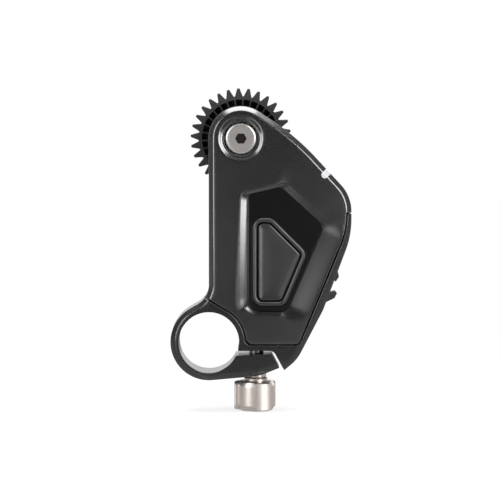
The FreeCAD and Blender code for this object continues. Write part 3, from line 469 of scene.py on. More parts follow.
finishes = {
    "shell": {"color": (0.006, 0.006, 0.0062), "rough": 0.24, "shine": 0.8,
        "crown": {"middle": (0.012, 0.026), "reach": (0.018, 0.03), "rise": (0.0002, 0.0009)},
        "bend": 1.8,
        "grain": {"scale": 4200, "clouds": 120, "gloss": 0.03, "depth": 3e-7}},
    "frame": {"color": (0.006, 0.006, 0.0062), "rough": 0.27, "shine": 0.8, "bend": 1.55,
        "grain": {"scale": 5200, "clouds": 160, "gloss": 0.03, "depth": 3e-7}},
    "gear": {"color": (0.016, 0.016, 0.0165), "rough": 0.48, "shine": 0.5,
        "grain": {"scale": 3800, "clouds": 200, "gloss": 0.12, "depth": 4e-6}},
    "key": {"color": (0.014, 0.014, 0.0145), "rough": 0.3, "shine": 0.7, "bend": 1.6,
        "grain": {"scale": 5600, "clouds": 180, "gloss": 0.03, "depth": 3e-7}},
    "panel": {"color": (0.006, 0.006, 0.0064), "rough": 0.12, "shine": 0.35,
        "grain": {"scale": 900, "clouds": 90, "gloss": 0.03, "depth": 2e-7}},
    "steel": {"color": (0.46, 0.43, 0.41), "rough": 0.42,
        "lathed": {"rings": 9000, "clouds": 300, "gloss": 0.12, "depth": 6e-6, "strength": 0.15,
        "stretch": (400, 400, 400)}},
    "nickel": {"color": (0.80, 0.73, 0.68), "rough": 0.38,
        "lathed": {"rings": 5200, "clouds": 260, "gloss": 0.06, "depth": 4e-7, "strength": 0.05,
        "stretch": (300, 300, 2600)}},
}
steelLines = finishes["steel"]["lathed"]
shellBlack = grainPlastic("shellBlack", **finishes["shell"])
frameBlack = grainPlastic("frameBlack", **finishes["frame"])
gearBlack = grainPlastic("gearBlack", **finishes["gear"])
keyBlack = grainPlastic("keyBlack", **finishes["key"])
panelGloss = grainPlastic("panelGloss", **finishes["panel"])
knobNickel = turnedMetal("knobNickel", **finishes["nickel"])


def coat(piece, shader):
    piece.data.materials.clear()
    piece.data.materials.append(shader.material)


def dress(piece, shader, body, slot, *replaced):
    coat(piece, shader)
    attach(piece, body)
    if replaced:
        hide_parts(*replaced)


# the housing: corners are (x, z, radius), the bevel is (distance from the outline, drop), and a field
# of inner points has its rectangle's low and high corners, its spacing and its distance from the edge
h = {
    "left": 0.0, "right": 35.5, "frontY": -5.5, "shellBackY": 5.5, "plateBackY": 7.0, "arcStep": 0.3,
    "headRadius": 8.0, "neckZ": 11.15, "neckRadius": 5.5,
    "brow": (21.5, 51.5, 60.0), "shoulderZ": 36.4, "shoulderRadius": 9.7,
    "hipZ": 26.6, "hipRadius": 22.0, "waist": (28.5, 8.0, 10.0), "heel": (22.03, -4.42, 10.0),
    "toeTip": (18.8, -7.1), "jawKnee": (12.5, -8.54, 14.0), "jawTipBack": 1.1, "slitRun": 4,
    "slitTop": -2.1, "slitWidth": 1.15, "slitEnd": 0.8, "toeGap": 0.8, "slitCorner": 16.1, "slitRadius": 1.8,
    "bore": 7.55, "ring": 9.6, "boreChamfer": 0.15,
    "bevel": ((0.0, 1.26), (0.05, 1.17), (0.12, 1.08), (0.4, 0.76), (0.72, 0.42), (0.8, 0.35), (0.9, 0.265),
              (1.0, 0.185), (1.08, 0.13), (1.16, 0.084), (1.24, 0.049), (1.32, 0.024), (1.4, 0.008),
              (1.5, 0.0)),
    "seamRoll": 0.2, "seamRows": (0.07, 0.14, 0.2), "seamRollDepth": 0.16, "wall": 1.25,
    "seamGap": 0.3, "stripWidth": 1.3, "stripTop": 32.3, "seamHip": (28.0, 18.4), "seamHeel": 22.4,
    "seamCollar": 0.35, "seamFoot": -0.5, "seamFootRadius": 2.0, "seamCorner": 1.2, "seamStart": (-1.1, 11.4),
    "collarRun": 18, "seamRun": 36, "rodRelief": 1.0, "rearFoot": 0.6, "plateHole": 5.0, "plateEdge": 4.99,
    "lipReach": 0.2, "lipY": -3.3,
    "coverField": ((0, -1), (36, 66), 0.9, 1.55), "fieldGap": 0.2,
    "clampField": ((-10, -10), (26, 2), 0.8, 1.6),
}
# the edges of a frame well outside the part
past = {"low": -20, "side": 30, "right": 60, "top": 90}


def unit(p, q):
    way = np.array(q, float) - np.array(p, float)
    return way / np.linalg.norm(way)


def silhouette():
    neck = (h["left"], h["neckZ"], h["neckRadius"])
    browTouch = tangentAngle(h["brow"], head, h["headRadius"], 1)
    jawTouch = tangentAngle(h["jawKnee"], rodAxis, h["ring"], -1)
    neckTouch = tangentAngle(neck, rodAxis, h["ring"], 1) - 360
    toe = unit((h["slitCorner"], h["slitTop"]), h["toeTip"])
    jawTip = (h["toeTip"][0] + toe[1] * h["toeGap"] - toe[0] * h["jawTipBack"],
              h["toeTip"][1] - toe[0] * h["toeGap"] - toe[1] * h["jawTipBack"])
    return loopPoints([neck, arcPoints(head, h["headRadius"], 180, browTouch, h["arcStep"]),
                       h["brow"], (h["right"], h["shoulderZ"], h["shoulderRadius"]),
                       (h["right"], h["hipZ"], h["hipRadius"]), h["waist"], h["heel"],
                       (*h["toeTip"], 0), (*jawTip, 0), h["jawKnee"],
                       arcPoints(rodAxis, h["ring"], jawTouch, neckTouch, h["arcStep"])])


def slitLoop():
    toe = unit((h["slitCorner"], h["slitTop"]), h["toeTip"])
    across = np.array((toe[1], -toe[0])) * h["toeGap"]
    end = np.array(h["toeTip"]) + toe * h["slitRun"]
    climb = (h["slitWidth"] - h["slitEnd"]) / (h["slitCorner"] - h["bore"])
    low = h["slitTop"] - h["slitWidth"] - climb * h["bore"] / 2
    inner = crossing((h["bore"] / 2, low), (1, climb), np.array(h["toeTip"]) + across, toe)
    return loopPoints([(h["bore"] / 2, h["slitTop"], 0), (h["slitCorner"], h["slitTop"], h["slitRadius"]),
                       (*end, 0), (*(end + across), 0), (*inner, h["slitWidth"] / 4),
                       (h["bore"] / 2, low, 0)])


def seamLoop(grow):
    # the front cover's share of the front, running past the silhouette
    collarRadius = h["ring"] - h["seamCollar"]
    touch = tangentAngle(h["seamStart"], rodAxis, collarRadius, -1)
    collar = collarRadius - grow
    turn = radians(touch)
    touchPoint = np.array((cos(turn), sin(turn))) * collar
    leftEnd = touchPoint + np.array((-sin(turn), cos(turn))) * h["collarRun"]
    footZ = h["seamFoot"] - grow
    footRadius = h["seamFootRadius"] - grow
    centreZ = footZ + footRadius
    centreX = sqrt((collar + footRadius) ** 2 - centreZ ** 2)
    footTouch = degrees(atan2(centreZ, centreX))
    side = h["right"] - h["stripWidth"]
    way = unit((side, h["seamHip"][0]), (h["seamHeel"], h["seamFoot"]))
    edge = (side - way[1] * grow, h["seamHip"][0] + way[0] * grow)
    hip = crossing(edge, way, (side + grow, 0), (0, 1))
    foot = crossing(edge, way, (0, footZ), (1, 0))
    top, right = headZ + h["seamRun"], h["right"] + h["seamRun"]
    return loopPoints([(*leftEnd, 0), (leftEnd[0], top, 0), (right, top, 0), (right, h["stripTop"] - grow, 0),
                       (side + grow, h["stripTop"] - grow, h["seamGap"]),
                       (*hip, h["seamHip"][1] + grow), (*foot, h["seamCorner"] + grow),
                       arcPoints((centreX, centreZ), footRadius, -90, footTouch - 180, h["arcStep"]),
                       arcPoints(rodAxis, collar, footTouch, touch, h["arcStep"])])


def block(low, high):
    return np.array([low, (high[0], low[1]), high, (low[0], high[1])], float)


outer = silhouette()
slit = slitLoop()
seam = seamLoop(0)
seamWide = seamLoop(h["seamGap"])
boreLoop = circle(rodAxis, h["bore"])
relief = circle(rodAxis, h["ring"] + h["rodRelief"])
foot = block((past["low"], h["rearFoot"]), (past["right"], past["top"]))
bevelDistances, bevelDrops = zip(*h["bevel"])
inwardRows = [-distance for distance in bevelDistances[1:]]

panel = {
    "corners": [(9.7, 36.8, 1.5), (17.9, 38.7, 1.2), (28.75, 28.95, 1.5), (19.6, 7.6, 2.5),
        (9.7, 7.6, 3.3)],
    "step": 0.3, "frontY": -4.7, "backY": -4.0, "fit": 0.05, "guards": (0.04, 0.1, 0.2, 0.3),
    "roll": 0.08, "rollWidth": 0.2,
}
# the slope round the panel by the side it lies on: outward angle, width, depth, straightness;
# the left side's width goes from the first to the second value up its height
surround = {
    "sides": ((-90, 1.0, 0.3, 0.0), (-23, 5.4, 0.72, 0.8), (48, 2.3, 0.6, 0.2), (103, 0.9, 0.5, 0.0),
        (180, 2.4, 0.72, 0.0), (270, 1.0, 0.3, 0.0)),
    "left": (150, 210), "leftWidth": (3.4, 2.0),
    "tail": 0.2, "tailReach": 7.0, "tailTurn": 48, "tailSpread": 40,
    "rings": (0.12, 0.25, 0.45, 0.7, 0.95, 1.2, 1.5, 1.8, 2.1, 2.4, 2.8, 3.3, 4.0, 4.7, 5.4),
}
button = {
    "corners": [(12.3, 29.6, 1.2), (15.2, 29.6, 1.2), (22.9, 21.9, 1.2), (18.1, 10.4, 1.2),
        (12.3, 10.4, 1.2)],
    "step": 0.25, "gap": 0.35, "bezel": 1.0, "bezelTop": -5.2, "bezelDrop": 0.3, "bezelPower": 2.6,
    "bezelRows": 8, "bezelFit": 0.02, "capTop": -5.1, "backY": -3.3,
    "roll": ((0.0, 0.4), (0.05, 0.26), (0.12, 0.16), (0.22, 0.06), (0.35, 0.0), (0.5, 0.02),
        (0.7, 0.09), (1.0, 0.17), (1.4, 0.2)), "arch": 0.12, "archWidth": 10, "archEdge": (0.7, 3),
    "field": ((12, 10), (24, 30), 0.7, 1.6),
}
dish = {
    "hole": 4.25, "rim": 4.5, "radius": 5.75, "depth": 0.5, "lip": 0.12, "step": 0.25, "rows": 8,
    "rowStep": 0.3,
}
light = {
    "centre": (29.75, 42.6), "width": 1.7, "length": 2.15, "round": 0.97, "step": 0.15, "backY": -2.9,
    "reach": 5.0, "color": (0.42, 0.43, 0.45), "rough": 0.35,
}

panelLoop = loopPoints(panel["corners"], panel["step"])
padLoop = loopPoints(button["corners"], button["step"])


def lightLoop():
    edgeWay = unit(h["brow"][:2], (h["right"], h["shoulderZ"]))
    outWay = np.array((-edgeWay[1], edgeWay[0]))
    half = light["width"] / 2
    corners = []
    for along, across in ((light["width"], half), (light["width"], -half),
                          (-light["length"], -half), (-light["length"], half)):
        p = np.array(light["centre"]) + outWay * along + edgeWay * -across
        corners.append((*p, 0 if along > 0 else half * light["round"]))
    return loopPoints(corners, light["step"])


lightCut = lightLoop()


def surroundDrop(points):
    # how far the sloping surround of the panel lies under the face
    off, turn = fromLoop(points, panelLoop)
    off = np.where(inLoop(points, panelLoop), 0, off)
    turn = (turn + 90) % 360 - 90
    angles, *measures = zip(*surround["sides"])
    width, depth, straight = [np.interp(turn, angles, measure) for measure in measures]
    tall = np.interp(points[:, 1], (panel["corners"][3][1], panel["corners"][0][1]), surround["leftWidth"])
    width = np.where((turn > surround["left"][0]) & (turn < surround["left"][1]), tall, width)
    smooth = 1 - rise(off, 0, width)
    line = 1 - np.clip(off / width, 0, 1)
    upper = np.clip(1 - np.abs(turn - surround["tailTurn"]) / surround["tailSpread"], 0, 1)
    tail = surround["tail"] * upper * np.clip(1 - off / surround["tailReach"], 0, 1)
    return np.maximum(depth * (smooth + (line - smooth) * straight), tail)


def frontSurface(points):
    points = np.asarray(points)
    edge = np.where(inLoop(points, outer), toLoop(points, outer), 0)
    y = h["frontY"] + np.interp(edge, bevelDistances, bevelDrops)
    y += surroundDrop(points)
    radius = radii(points, head)
    y += dish["depth"] * (1 - rise(radius, dish["rim"], dish["radius"]))
    y += dish["lip"] * (1 - rise(radius, dish["hole"], dish["hole"] + dish["lip"]))
    seamEdge = np.minimum(toLoop(points, seam), toLoop(points, seamWide))
    y += h["seamRollDepth"] * (1 - np.clip(seamEdge / h["seamRoll"], 0, 1)) ** 2
    y += np.clip(h["boreChamfer"] - (radii(points) - h["bore"]), 0, h["boreChamfer"])
    return y


def makeCover():
    panelCut, _ = offsetLoop(panelLoop, panel["fit"])
    hole = circle(head, dish["hole"], dish["step"])
    curves = closedCurves(outer, seam, panelCut, lightCut, hole)
    curves += rings(outer, inwardRows + [-h["wall"]])
    curves += rings(panelLoop, surround["rings"])
    curves += rings(seam, [-row for row in h["seamRows"]])
    curves += closedCurves(circle(head, dish["hole"] + dish["lip"], dish["step"]))
    for k in range(dish["rows"]):
        radius = dish["rim"] + (dish["radius"] - dish["rim"]) * k / (dish["rows"] - 1)
        curves += closedCurves(circle(head, radius, dish["rowStep"]))
    field = fieldIn(outer, *h["coverField"])
    field = field[toLoop(field, panelLoop) > surround["rings"][-1] + h["fieldGap"]]
    field = field[~inLoop(field, panelLoop) & (radii(field, head) > dish["radius"] + h["fieldGap"])]
    return carve("frontShell", curves, within(outer, seam, without=(panelCut, lightCut, hole)), frontSurface,
                 lambda p: np.where(toLoop(p, outer) < h["wall"], h["shellBackY"], panel["backY"]), field)


def inBack(points):
    away = radii(points) > h["ring"] + h["rodRelief"]
    return inLoop(points, outer) & away & (points[:, 1] > h["rearFoot"]) & (points[:, 0] > h["left"])


def makeClamp():
    low, side = past["low"], past["side"]
    leftLine = np.array([(h["left"], low), (h["left"], side), (low, side), (low, low)], float)
    curves = closedCurves(outer, seamWide, slit, boreLoop, relief, foot, leftLine)
    curves += rings(outer, inwardRows)
    curves += rings(seamWide, h["seamRows"])
    curves += closedCurves(circle(rodAxis, h["bore"] + h["boreChamfer"]))
    return carve("clampFrame", curves, within(outer, without=(seamWide, slit, boreLoop)), frontSurface,
                 lambda p: np.where(inBack(p), h["plateBackY"], h["shellBackY"]),
                 fieldIn(outer, *h["clampField"]))


def makeMiddlePlate():
    curves = closedCurves(outer, seamWide, relief, foot, circle(head, h["plateHole"]))

    def inside(points):
        return inBack(points) & inLoop(points, seamWide) & (radii(points, head) > h["plateEdge"])

    return carve("middlePlate", curves, inside, levelAt(h["shellBackY"]), levelAt(h["plateBackY"]))


def makeLip():
    # the shelf behind the seam round the clamp
    reach = h["ring"] + h["rodRelief"] + h["lipReach"]
    below = block((past["low"], past["low"]), (past["right"], h["rearFoot"] + h["lipReach"]))
    curves = closedCurves(outer, seamWide, circle(rodAxis, reach), below) + rings(outer, [-h["wall"]])

    def inside(points):
        near = (radii(points) < reach) | inLoop(points, below)
        return near & inLoop(points, outer) & inLoop(points, seamWide) & (toLoop(points, outer) > h["wall"])

    return carve("collarLip", curves, inside, levelAt(h["lipY"]), levelAt(h["shellBackY"]))


port = {
    "angle": -12.0, "width": 9.24, "height": 3.56, "middleY": 1.83, "inward": 3.7, "outward": 2.0,
    "step": 0.3,
}


def cutPort(piece):
    # the round-ended opening of the socket, square to the right edge
    half = atan2(h["right"] - h["waist"][0], h["hipZ"] - h["waist"][1]) / 2
    turn = radians(port["angle"])
    out = np.array((cos(turn), sin(turn)))
    middle = np.array((h["right"] - h["hipRadius"], h["hipZ"] + h["hipRadius"] * tan(half)))
    middle = middle + out * h["hipRadius"]
    radius = port["height"] / 2
    straight = port["width"] / 2 - radius
    section = arcPoints((straight, 0), radius, -90, 90, port["step"])
    section += arcPoints((-straight, 0), radius, 90, 270, port["step"])
    verts = []
    for reach in (-port["inward"], port["outward"]):
        for along, up in section:
            x, z = middle + out * reach + np.array((-out[1], out[0])) * along
            verts.append((x * mm, (port["middleY"] + up) * mm, z * mm))
    count = len(section)
    faces = [(count + i, count + (i + 1) % count, (i + 1) % count, i) for i in range(count)]
    faces += [range(count), range(2 * count - 1, count - 1, -1)]
    tool = meshPiece("portTool", verts, faces)
    modifier = piece.modifiers.new("port", "BOOLEAN")
    modifier.operation = "DIFFERENCE"
    modifier.solver = "EXACT"
    modifier.use_self = True
    modifier.object = tool
    applyModifier(piece, modifier)
    bpy.data.objects.remove(tool)
    return piece


dress(makeCover(), shellBlack, "housing", "shell_black", "front_cover")
dress(cutPort(makeClamp()), frameBlack, "housing", "anodised_black", "chassis")
dress(makeMiddlePlate(), frameBlack, "housing", "anodised_black", "chassis")
dress(makeLip(), frameBlack, "housing", "anodised_black", "chassis")
print("stage: housing shells made")


def makePanel():
    gap = button["gap"] + button["bezel"] + button["bezelFit"]
    hole, _ = offsetLoop(padLoop, gap)
    curves = closedCurves(panelLoop, hole) + rings(panelLoop, [-guard for guard in panel["guards"]])
    curves += rings(padLoop, [gap + guard for guard in panel["guards"]])

    def front(points):
        edge = np.minimum(toLoop(points, panelLoop), toLoop(points, hole))
        return panel["frontY"] + panel["roll"] * (1 - rise(edge, 0, panel["rollWidth"]))

    return carve("insetPanel", curves, within(panelLoop, without=(hole,)), front, levelAt(panel["backY"]))


def makeBezel():
    low, _ = offsetLoop(padLoop, button["gap"])
    high, _ = offsetLoop(padLoop, button["gap"] + button["bezel"])
    count = button["bezelRows"]
    curves = closedCurves(low, high)
    curves += rings(padLoop, [button["gap"] + button["bezel"] * k / count for k in range(1, count)])

    def front(points):
        off = (toLoop(points, padLoop) - button["gap"]) / button["bezel"]
        crown = np.clip(1 - np.abs(off * 2 - 1) ** button["bezelPower"], 0, 1)
        return button["bezelTop"] + button["bezelDrop"] * (1 - crown)

    return carve("keyBezel", curves, within(high, without=(low,)), front, levelAt(panel["backY"]))


def makeKey():
    reaches, drops = zip(*button["roll"])
    curves = closedCurves(padLoop) + rings(padLoop, [-reach for reach in reaches[1:]])

    def front(points):
        edge = np.where(inLoop(points, padLoop), toLoop(points, padLoop), 0)
        across = np.clip((points[:, 0] - button["corners"][0][0]) / button["archWidth"], 0, 1)
        hollow = button["arch"] * np.sin(across * pi) * rise(edge, *button["archEdge"])
        return button["capTop"] + np.interp(edge, reaches, drops) + hollow

    return carve("pushKey", curves, within(padLoop), front, levelAt(button["backY"]),
                 fieldIn(padLoop, *button["field"]))


def nearLight(distances):
    # the stretches of the outline and its inner rings that lie round the light slot
    near = []
    for loop, good in closedCurves(outer, lightCut) + rings(outer, distances):
        near.append((loop, good & (radii(loop, light["centre"]) < light["reach"])))
    return near


inSlot = within(outer, lightCut)


def makeLight():
    return carve("lightGuide", nearLight(inwardRows), inSlot, frontSurface, levelAt(light["backY"]))


def makeSlotWall():
    # the shell's wall behind the light guide
    return carve("slotWall", nearLight([-h["wall"]]), lambda p: inSlot(p) & (toLoop(p, outer) < h["wall"]),
                 levelAt(light["backY"]), levelAt(h["shellBackY"]))


dress(makePanel(), panelGloss, "housing", "panel_black", "button_panel")
dress(makeBezel(), keyBlack, "housing", "bezel_black", "button_bezel")
dress(makeKey(), keyBlack, "button", "key_black", "button_cap")
frosted = Shader("frostedWhite", light["color"], light["rough"])
dress(makeLight(), frosted, "housing", "light_white", "status_light")
dress(makeSlotWall(), shellBlack, "housing", "shell_black", "front_cover")
print("stage: panel, key and light made")

# the lens gear is one tooth's share, repeated round the axis
gear = {
    "teeth": 30, "phase": 92.9, "tip": 12.8, "root": 10.76, "tipHalf": 0.3, "footHalf": 0.98,
    "tipRound": 0.22, "footRound": 0.3, "pocketIn": 8.4, "pocketOut": 9.97, "rib": 0.3,
    "pocketRound": (0.1, 0.15), "pocketDepth": 4.5, "pocketStep": 0.2, "bore": 2.52, "frontY": 9.3,
    "backY": 17.3, "chamfer": 0.15, "chamferReach": 0.5, "chamferRow": 0.6, "inner": 4, "step": 0.12,
    "onSide": 1e-4, "weld": 0.002,
}


def gearShare():
    # one sector about +X: tooth in the middle, half a rib at each side
    half = pi / gear["teeth"]

    def polar(radius, turn):
        return (radius * cos(turn), radius * sin(turn))

    def pocketCorner(key, sign, rounding):
        radius = gear[key]
        return (*polar(radius, sign * (half - asin(gear["rib"] / 2 / radius))), rounding)

    tooth = [(*polar(gear["root"], -half), 0),
             (gear["root"], -gear["footHalf"], gear["footRound"]),
             (gear["tip"], -gear["tipHalf"], gear["tipRound"]),
             (gear["tip"], gear["tipHalf"], gear["tipRound"]),
             (gear["root"], gear["footHalf"], gear["footRound"]),
             (*polar(gear["root"], half), 0)]
    edge = loopPoints(tooth + [(*polar(gear["bore"], turn), 0) for turn in (half, -half)], gear["step"])
    inner, farther = gear["pocketRound"]
    pocket = loopPoints([pocketCorner("pocketIn", -1, inner), pocketCorner("pocketOut", -1, farther),
                         pocketCorner("pocketOut", 1, farther), pocketCorner("pocketIn", 1, inner)],
                        gear["pocketStep"])
    toothOnly = loopPoints(tooth + [(gear["inner"], 0, 0)], gear["step"])

    def onSide(a, b):
        return all(abs(abs(atan2(p[1], p[0])) - half) < gear["onSide"] for p in (a, b))

    def chamfer(points):
        drop = np.clip(gear["chamfer"] - toLoop(points, toothOnly), 0, gear["chamfer"])
        return np.where(radii(points) < gear["root"] - gear["chamferReach"], 0, drop)

    moved, good = offsetLoop(edge, -gear["chamfer"])
    good &= radii(moved) > gear["root"] - gear["chamferRow"]
    return carve("gearShare", closedCurves(edge, pocket) + [(moved, good)], within(edge),
                 lambda p: gear["frontY"] + chamfer(p), levelAt(gear["backY"]),
                 step=lambda p: np.where(inLoop(p, pocket), gear["pocketDepth"], 0.0),
                 backDrop=chamfer, openEdge=onSide)


def ringOf(share, name, shader, values):
    # Geometry Nodes: copies of a share turned round the Y axis, made one
    tree = bpy.data.node_groups.new(name, "GeometryNodeTree")
    add = tree.interface.new_socket
    add("Geometry", in_out="OUTPUT", socket_type="NodeSocketGeometry")
    keys = {label: add(label, in_out="INPUT", socket_type="NodeSocket" + kind).identifier for label, kind in (
        ("Geometry", "Geometry"), ("Count", "Int"), ("Phase", "Float"), ("Centre", "Vector"))}
    kit = Nodes(tree)
    given = tree.nodes.new("NodeGroupInput")
    whole, count, phase, centre = [Value(given.outputs[label], kit) for label in keys]
    turn = kit.node("GeometryNodeInputIndex") / count * (-2 * pi) + phase
    made = kit.node("GeometryNodeMeshLine", {"Count": count, "Offset": (0, 0, 0)}, {"mode": "OFFSET"})
    made = kit.node("GeometryNodeInstanceOnPoints", {
        "Points": made, "Instance": whole, "Rotation": kit.node("ShaderNodeCombineXYZ", {"Y": turn})})
    made = kit.node("GeometryNodeRealizeInstances", {0: made})
    made = kit.node("GeometryNodeMergeByDistance", {"Geometry": made, "Distance": gear["weld"] * mm})
    made = kit.node("GeometryNodeTransform", {"Geometry": made, "Translation": centre})
    made = kit.node("GeometryNodeSetMaterial", {"Geometry": made, "Material": shader.material})
    tree.links.new(made.socket, tree.nodes.new("NodeGroupOutput").inputs[0])
    modifier = share.modifiers.new(name, "NODES")
    modifier.node_group = tree
    for label, value in values.items():
        modifier[keys[label]] = value
    applyModifier(share, modifier)
    share.name = share.data.name = name
    return share


lensGear = ringOf(gearShare(), "lensGear", gearBlack, {
    "Count": gear["teeth"], "Phase": -radians(gear["phase"]), "Centre": (headX * mm, 0, headZ * mm)})
dress(lensGear, gearBlack, "output", "gear_black", "lens_gear")
print("stage: lens gear made", len(lensGear.data.polygons))

# the shaft cap with its hexagon socket: profile is (radius, drop), and the bands are where the painted
# highlight on the rim and the painted shade on the socket's floor begin
cap = {
    "radius": 3.83, "profile": ((3.41, 0.0), (3.47, 0.02), (3.78, 0.24), (3.83, 0.34)), "rows": (2.6, 2.0),
    "frontY": -5.0, "backY": -3.8, "hex": 2.5, "hexStep": 0.3, "socket": 0.8, "step": 0.2,
    "rimHighlightBand": (3.35, 3.5), "socketShadeBand": (1.5, 1.7), "socketShadeDepths": (-4.95, -4.6),
    "rimHighlightColor": (0.95, 0.93, 0.91), "socketShadeColor": (0.04, 0.037, 0.035),
}


def makeCap():
    reach = cap["hex"] / sqrt(3)
    corners = [(headX + reach * cos(t), headZ + reach * sin(t), 0)
               for t in [radians(60 * k) for k in range(6)]]
    hexagon = loopPoints(corners, cap["hexStep"])
    places, drops = zip(*cap["profile"])
    curves = closedCurves(circle(head, cap["radius"], cap["step"]), hexagon)
    curves += closedCurves(*[circle(head, radius, cap["step"]) for radius in (*places[-2::-1], *cap["rows"])])
    return carve("shaftCap", curves, lambda p: radii(p, head) < cap["radius"],
                 lambda p: cap["frontY"] + np.interp(radii(p, head), places, drops), levelAt(cap["backY"]),
                 step=lambda p: np.where(inLoop(p, hexagon), cap["socket"], 0.0))


def capSteelWithPaintedLight():
    # turned steel with a painted highlight on the chamfered rim and painted shade on the socket's floor
    shader = turnedMetal("capSteel", **finishes["steel"], centre=(headX * mm, headZ * mm))
    x, y, z = shader.axes(shader.coords)
    away = ((x - headX * mm) ** 2 + (z - headZ * mm) ** 2) ** 0.5
    # the rim mask paints a highlight on the chamfered rim, and the deep mask inside the socket's radius
    # paints shade on the socket's floor
    rim, outside, deepShade = [shader.ramp(value, [edge * mm for edge in cap[band]]) for value, band in (
        (away, "rimHighlightBand"), (away, "socketShadeBand"), (y, "socketShadeDepths"))]
    # face is the steel with the rim's painted highlight, and the socket's painted shade is laid over it
    face = shader.blend(rim, finishes["steel"]["color"], cap["rimHighlightColor"])
    shader.set("Base Color", shader.blend(deepShade * (1 - outside), face, cap["socketShadeColor"]))
    return shader


dress(makeCap(), capSteelWithPaintedLight(), "output", "cap_steel", "shaft_cap")

# the clamp's thumbscrew: three pads on a core, with rows that lie closer near its ends
knob = {
    "radius": 5.5, "core": 4.65, "top": -10.0, "height": 7.5, "lobes": 3, "lobeAngle": 54, "phase": -70,
    "corner": 1.0, "edge": 0.16, "outerEdge": 1.6, "innerEdge": 0.4, "padInset": 0.1, "chamfer": 0.3,
    "chamferPower": 1.6, "taper": 0.5, "taperBand": 1.25, "turns": 360, "smooth": 40,
    "endRows": (0.0, 0.04, 0.1, 0.18), "middleRows": 34, "middleFrom": 0.26,
    "collar": ((1.9, 0.3), (2.72, 0.3), (2.8, 0.22), (2.8, 0.02), (2.9, 0.0)),
    "foot": ((0.7, 0.0), (0.85, 0.12)),
}


def makeKnob():
    half = knob["height"] / 2
    middle = knob["top"] - half
    ends = half - np.array(knob["endRows"])
    between = half - knob["middleFrom"]
    heights = np.concatenate((ends, np.linspace(between, -between, knob["middleRows"]), -ends[::-1]))
    theta = np.arange(knob["turns"]) * 360 / knob["turns"]
    lobes = knob["phase"] + np.arange(knob["lobes"]) * 360 / knob["lobes"]
    away = np.abs((theta[:, None] - lobes + 180) % 360 - 180).min(1)
    across = np.radians(away) * knob["radius"]
    halfWide = radians(knob["lobeAngle"] / 2) * knob["radius"]
    rows = [(radius, knob["top"] + up) for radius, up in knob["collar"]]
    for z in heights:
        fromEnd = half - abs(z)
        qx = across - (halfWide - knob["corner"])
        qz = knob["padInset"] + knob["corner"] - fromEnd
        outside = np.hypot(np.maximum(qx, 0), max(qz, 0)) + np.minimum(np.maximum(qx, qz), 0) - knob["corner"]
        pad = 1 - rise(outside, -knob["edge"] * knob["outerEdge"], knob["edge"] * knob["innerEdge"])
        chamfer = knob["chamfer"] * max(0.0, 1 - fromEnd / knob["chamfer"]) ** knob["chamferPower"]
        core = knob["core"] - knob["taper"] * max(0.0, 1 - fromEnd / knob["taperBand"])
        rows.append((core + (knob["radius"] - core) * pad - chamfer, middle + z))
    rows += [(knob["core"] - inset, knob["top"] - knob["height"] + up) for inset, up in knob["foot"]]
    return turned("thumbKnob", rows, knob["turns"], knob["smooth"])


dress(makeKnob(), knobNickel, "thumbscrew", "knob_nickel", "clamp_knob")

stud = {
    "radius": 2.0, "depth": 0.36, "pitch": 0.7, "top": 4.0, "bottom": -10.2, "tipChamfer": 0.5,
    "flank": 1.15, "crest": 0.05, "turns": 48, "perPitch": 8, "smooth": 50,
    "color": (0.62, 0.61, 0.6), "rough": 0.3,
}


def makeStud():
    long = stud["top"] - stud["bottom"]
    count = int(long / stud["pitch"] * stud["perPitch"])
    share = np.arange(stud["turns"]) / stud["turns"]
    rows = []
    for j in range(count, -1, -1):
        up = long * j / count
        phase = (up / stud["pitch"] - share) % 1.0
        cut = stud["depth"] * np.clip(stud["flank"] * np.abs(2 * phase - 1) - stud["crest"], 0, 1)
        tip = stud["radius"] - stud["tipChamfer"] + long - up
        rows.append((np.minimum(stud["radius"] - cut, tip), stud["bottom"] + up))
    return turned("studThread", rows, stud["turns"], stud["smooth"])


studSteel = turnedMetal("studSteel", stud["color"], stud["rough"], steelLines)
dress(makeStud(), studSteel, "thumbscrew", "pin_steel", "clamp_stud")

# the washer and the seat above it on the jaw: profiles are (distance inside the radius, height)
washer = {
    "radius": 3.0, "hole": 2.05, "low": -9.7, "top": -9.1, "turns": 96, "color": (0.78, 0.73, 0.68),
    "rough": 0.25, "profile": ((0.35, 0.6), (0.08, 0.4), (0.0, 0.28), (0.0, 0.06), (0.06, 0.0)),
}
seat = {
    "radius": 2.6, "hole": 2.2, "low": -9.1, "top": -6.9, "turns": 96,
    "profile": ((0.0, 2.2), (0.0, 0.1), (0.1, 0.0)),
}


def makeWasher(name, ring):
    rows = [(ring["hole"], ring["low"]), (ring["hole"], ring["top"])]
    rows += [(ring["radius"] - inset, ring["low"] + up) for inset, up in ring["profile"]]
    return turned(name, rows, ring["turns"], closed=True)


washerNickel = turnedMetal("washerNickel", washer["color"], washer["rough"], finishes["nickel"]["lathed"],
                           centre=(knobX * mm, 0), axis="z")
dress(makeWasher("clampWasher", washer), washerNickel, "washer", "washer_nickel", "clamp_washer")
dress(makeWasher("jawSeat", seat), washerNickel, "housing", "anodised_black", "chassis")
print("stage: thumbscrew made")

